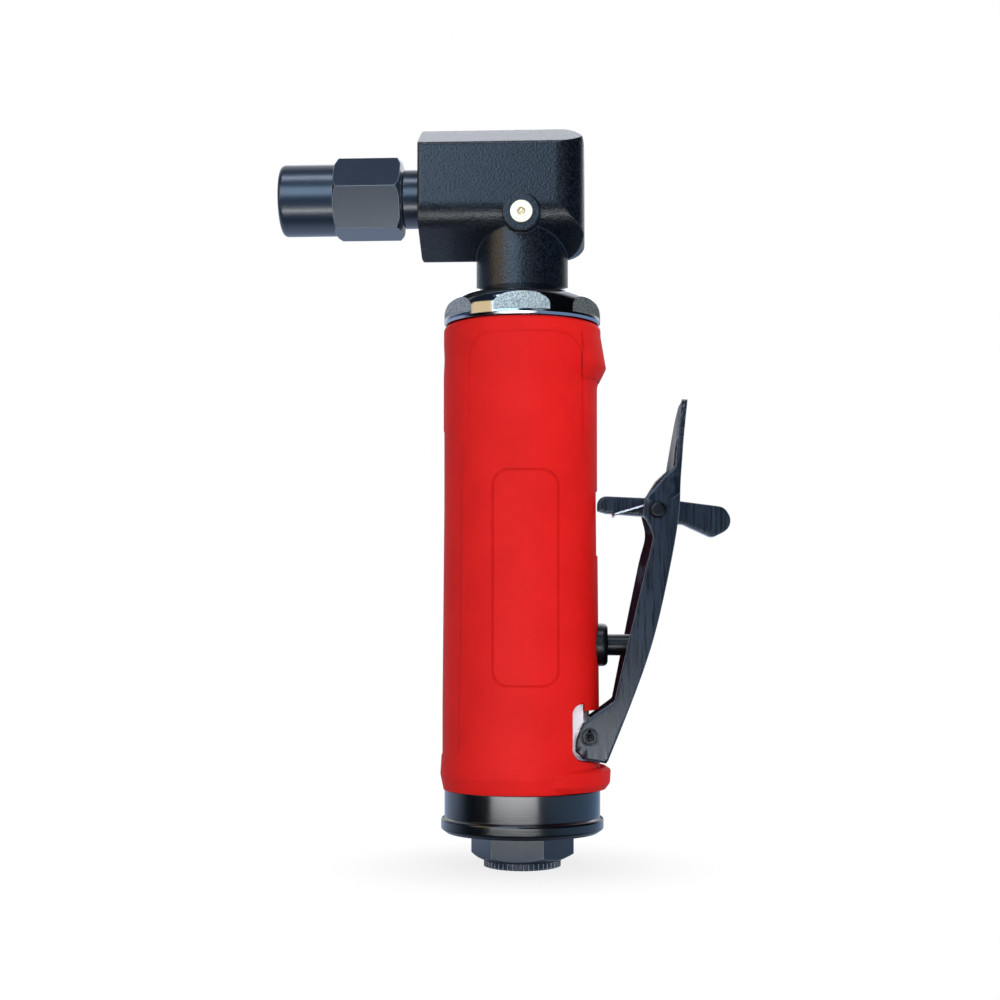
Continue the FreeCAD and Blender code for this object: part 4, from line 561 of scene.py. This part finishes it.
# Soft rectangular lamps: place, aim, width and height, power in watts, colour, and what each one gives:
# light on the surface without a highlight, or only the highlight in its gloss.
LAMPS = {
    "front_fill": ((0.3, -0.9, 0.35), (0, 0, 0.08), (0.7, 0.5), 5.0, "#FFFFFF", "light"),
    "left_softbox": ((-0.39, -0.25, 0.26), (0, 0, 0.14), (0.32, 0.24), 0.42, "#FFE0A4", "gloss"),
    "front_softbox": ((-0.17, -0.42, 0.29), (0, 0, 0.15), (0.34, 0.22), 1.15, "#B4D2F0", "gloss"),
    "top_strip": ((-0.05, -0.22, 0.60), (-0.04, 0, 0.16), (0.4, 0.10), 0.9, "#DCE8FF", "gloss"),
    "low_strip": ((-0.03, -0.15, 0.004), (-0.02, 0, 0.16), (0.2, 0.035), 0.24, "#F0F4F4", "gloss"),
    "rim_light": ((0, 0.62, 0.52), (0, 0, 0.15), (0.7, 0.4), 1.7, "#F0F4FF", "gloss"),
}
FLOOR_REACH = 6.0


def studio_world():
    """Dark room with a white wall behind the object; the wall and the panels show in the gloss. What stands
    in the room gets even, soft light from it, and the camera sees white."""
    world = bpy.data.worlds.new("dark_room_with_white_wall")
    bpy.context.scene.world = world
    world.use_nodes = True
    tree = world.node_tree
    tree.nodes.clear()
    path = node(tree, "ShaderNodeLightPath").outputs
    way = node(tree, "ShaderNodeTexCoord").outputs["Generated"]
    axes = node(tree, "ShaderNodeSeparateXYZ", {"Vector": way}).outputs
    seen = fade(tree, axes["X"], -0.2, 0.3, "#1C2A3C", "#05070B")
    for direction, start, full, colour in PANELS:
        toward = Vector(direction).normalized()
        cosine = node(tree, "ShaderNodeVectorMath", {0: way, 1: toward}, operation="DOT_PRODUCT")
        seen = fade(tree, cosine, start, full, seen, colour)
    wall = fade(tree, axes["X"], -0.8, -0.5, "#7C90B0", "#F4F8FF")
    wall = fade(tree, axes["X"], 0.5, 0.8, wall, "#0A1018")
    seen = fade(tree, axes["Y"], 0.05, 0.45, seen, wall)
    seen = fade(tree, axes["Y"], 0.93, 0.98, seen, "#3A4A5C")
    glossy = node(tree, "ShaderNodeBackground", {"Color": seen, "Strength": 1.0})
    soft = node(tree, "ShaderNodeBackground", {"Color": "#F4F6FA", "Strength": 0.62})
    white = node(tree, "ShaderNodeBackground", {"Color": "#FFFFFF", "Strength": 1.0})
    lit = node(tree, "ShaderNodeMixShader", {0: path["Is Glossy Ray"], 1: soft, 2: glossy})
    shown = node(tree, "ShaderNodeMixShader", {0: path["Is Camera Ray"], 1: lit, 2: white})
    node(tree, "ShaderNodeOutputWorld", {"Surface": shown})


def studio_floor():
    """Plain white floor that runs off into the backdrop and keeps a soft shadow near the object. In the
    object's gloss it glows: nearly black just in front of the object, a painted shadow of it; pale blue
    behind it and to its right; further in front a painted lit white stretch with the dim room round it."""
    mesh = bpy.data.meshes.new("floor")
    corners = [(x * FLOOR_REACH, y * FLOOR_REACH, 0) for x, y in ((-1, -1), (1, -1), (1, 1), (-1, 1))]
    mesh.from_pydata(corners, [], [(0, 1, 2, 3)])
    floor = in_scene("floor", mesh)
    made = bpy.data.materials.new("white_paper")
    made.use_nodes = True
    tree = made.node_tree
    tree.nodes.clear()
    path = node(tree, "ShaderNodeLightPath").outputs
    place = node(tree, "ShaderNodeTexCoord").outputs["Object"]
    away = node(tree, "ShaderNodeVectorMath", {0: place}, operation="LENGTH")
    paper = node(tree, "ShaderNodeBsdfDiffuse", {"Color": "#E6E8EA"})
    white = node(tree, "ShaderNodeEmission", {"Color": "#FFFFFF", "Strength": 1.0})
    clear = fade(tree, away, 0.015, 0.05, 0.8, 1.0)
    clear = node(tree, "ShaderNodeMath", {0: clear, 1: path["Is Camera Ray"]}, operation="MULTIPLY")
    shown = node(tree, "ShaderNodeMixShader", {0: clear, 1: paper, 2: white})
    axes = node(tree, "ShaderNodeSeparateXYZ", {"Vector": place}).outputs
    # Painted shadow of the object in its gloss: nearly black just in front of it, pale blue behind it and to
    # its right.
    under = fade(tree, axes["Y"], -0.04, 0.06, "#0A1018", "#C8DCFF")
    under = fade(tree, axes["X"], 0.04, 0.1, under, "#9CC4F0")
    # Painted lit white stretch further in front, with the dim room beyond it.
    front = fade(tree, axes["Y"], -0.30, -0.22, "#22324A", "#F6FAFF")
    floor_in_gloss_with_painted_shadow = fade(tree, axes["Y"], -0.2, -0.16, front, under)
    # The floor glows with these colours, painted shadow and lit stretch, for glossy rays only.
    room = node(tree, "ShaderNodeEmission", {"Color": floor_in_gloss_with_painted_shadow, "Strength": 1.0})
    shown = node(tree, "ShaderNodeMixShader", {0: path["Is Glossy Ray"], 1: shown, 2: room})
    node(tree, "ShaderNodeOutputMaterial", {"Surface": shown})
    mesh.materials.append(made)


studio_world()
studio_floor()
for name, (at, aim, size, power, colour, gives) in LAMPS.items():
    lamp_data = bpy.data.lights.new(name, "AREA")
    lamp_data.shape = "RECTANGLE"
    lamp_data.size, lamp_data.size_y = size
    lamp_data.energy = power
    lamp_data.color = linear(colour)[:3]
    lamp = in_scene(name, lamp_data)
    lamp.location = at
    lamp.rotation_euler = (Vector(aim) - Vector(at)).to_track_quat("-Z", "Y").to_euler()
    lamp.visible_camera = False
    lamp.visible_glossy = gives == "gloss"
    lamp.visible_diffuse = gives == "light"

camera_data = bpy.data.cameras.new("camera")
camera_data.sensor_width = 36.0
camera_data.lens = 61.71
camera_data.shift_y = 0.08
camera = in_scene("camera", camera_data)
camera.location = (0.01739, -0.40396, 0.05924)
camera.rotation_euler = (math.radians(91.137), 0.0, math.radians(3.209))
bpy.context.scene.camera = camera
bpy.context.scene.view_settings.view_transform = "Standard"
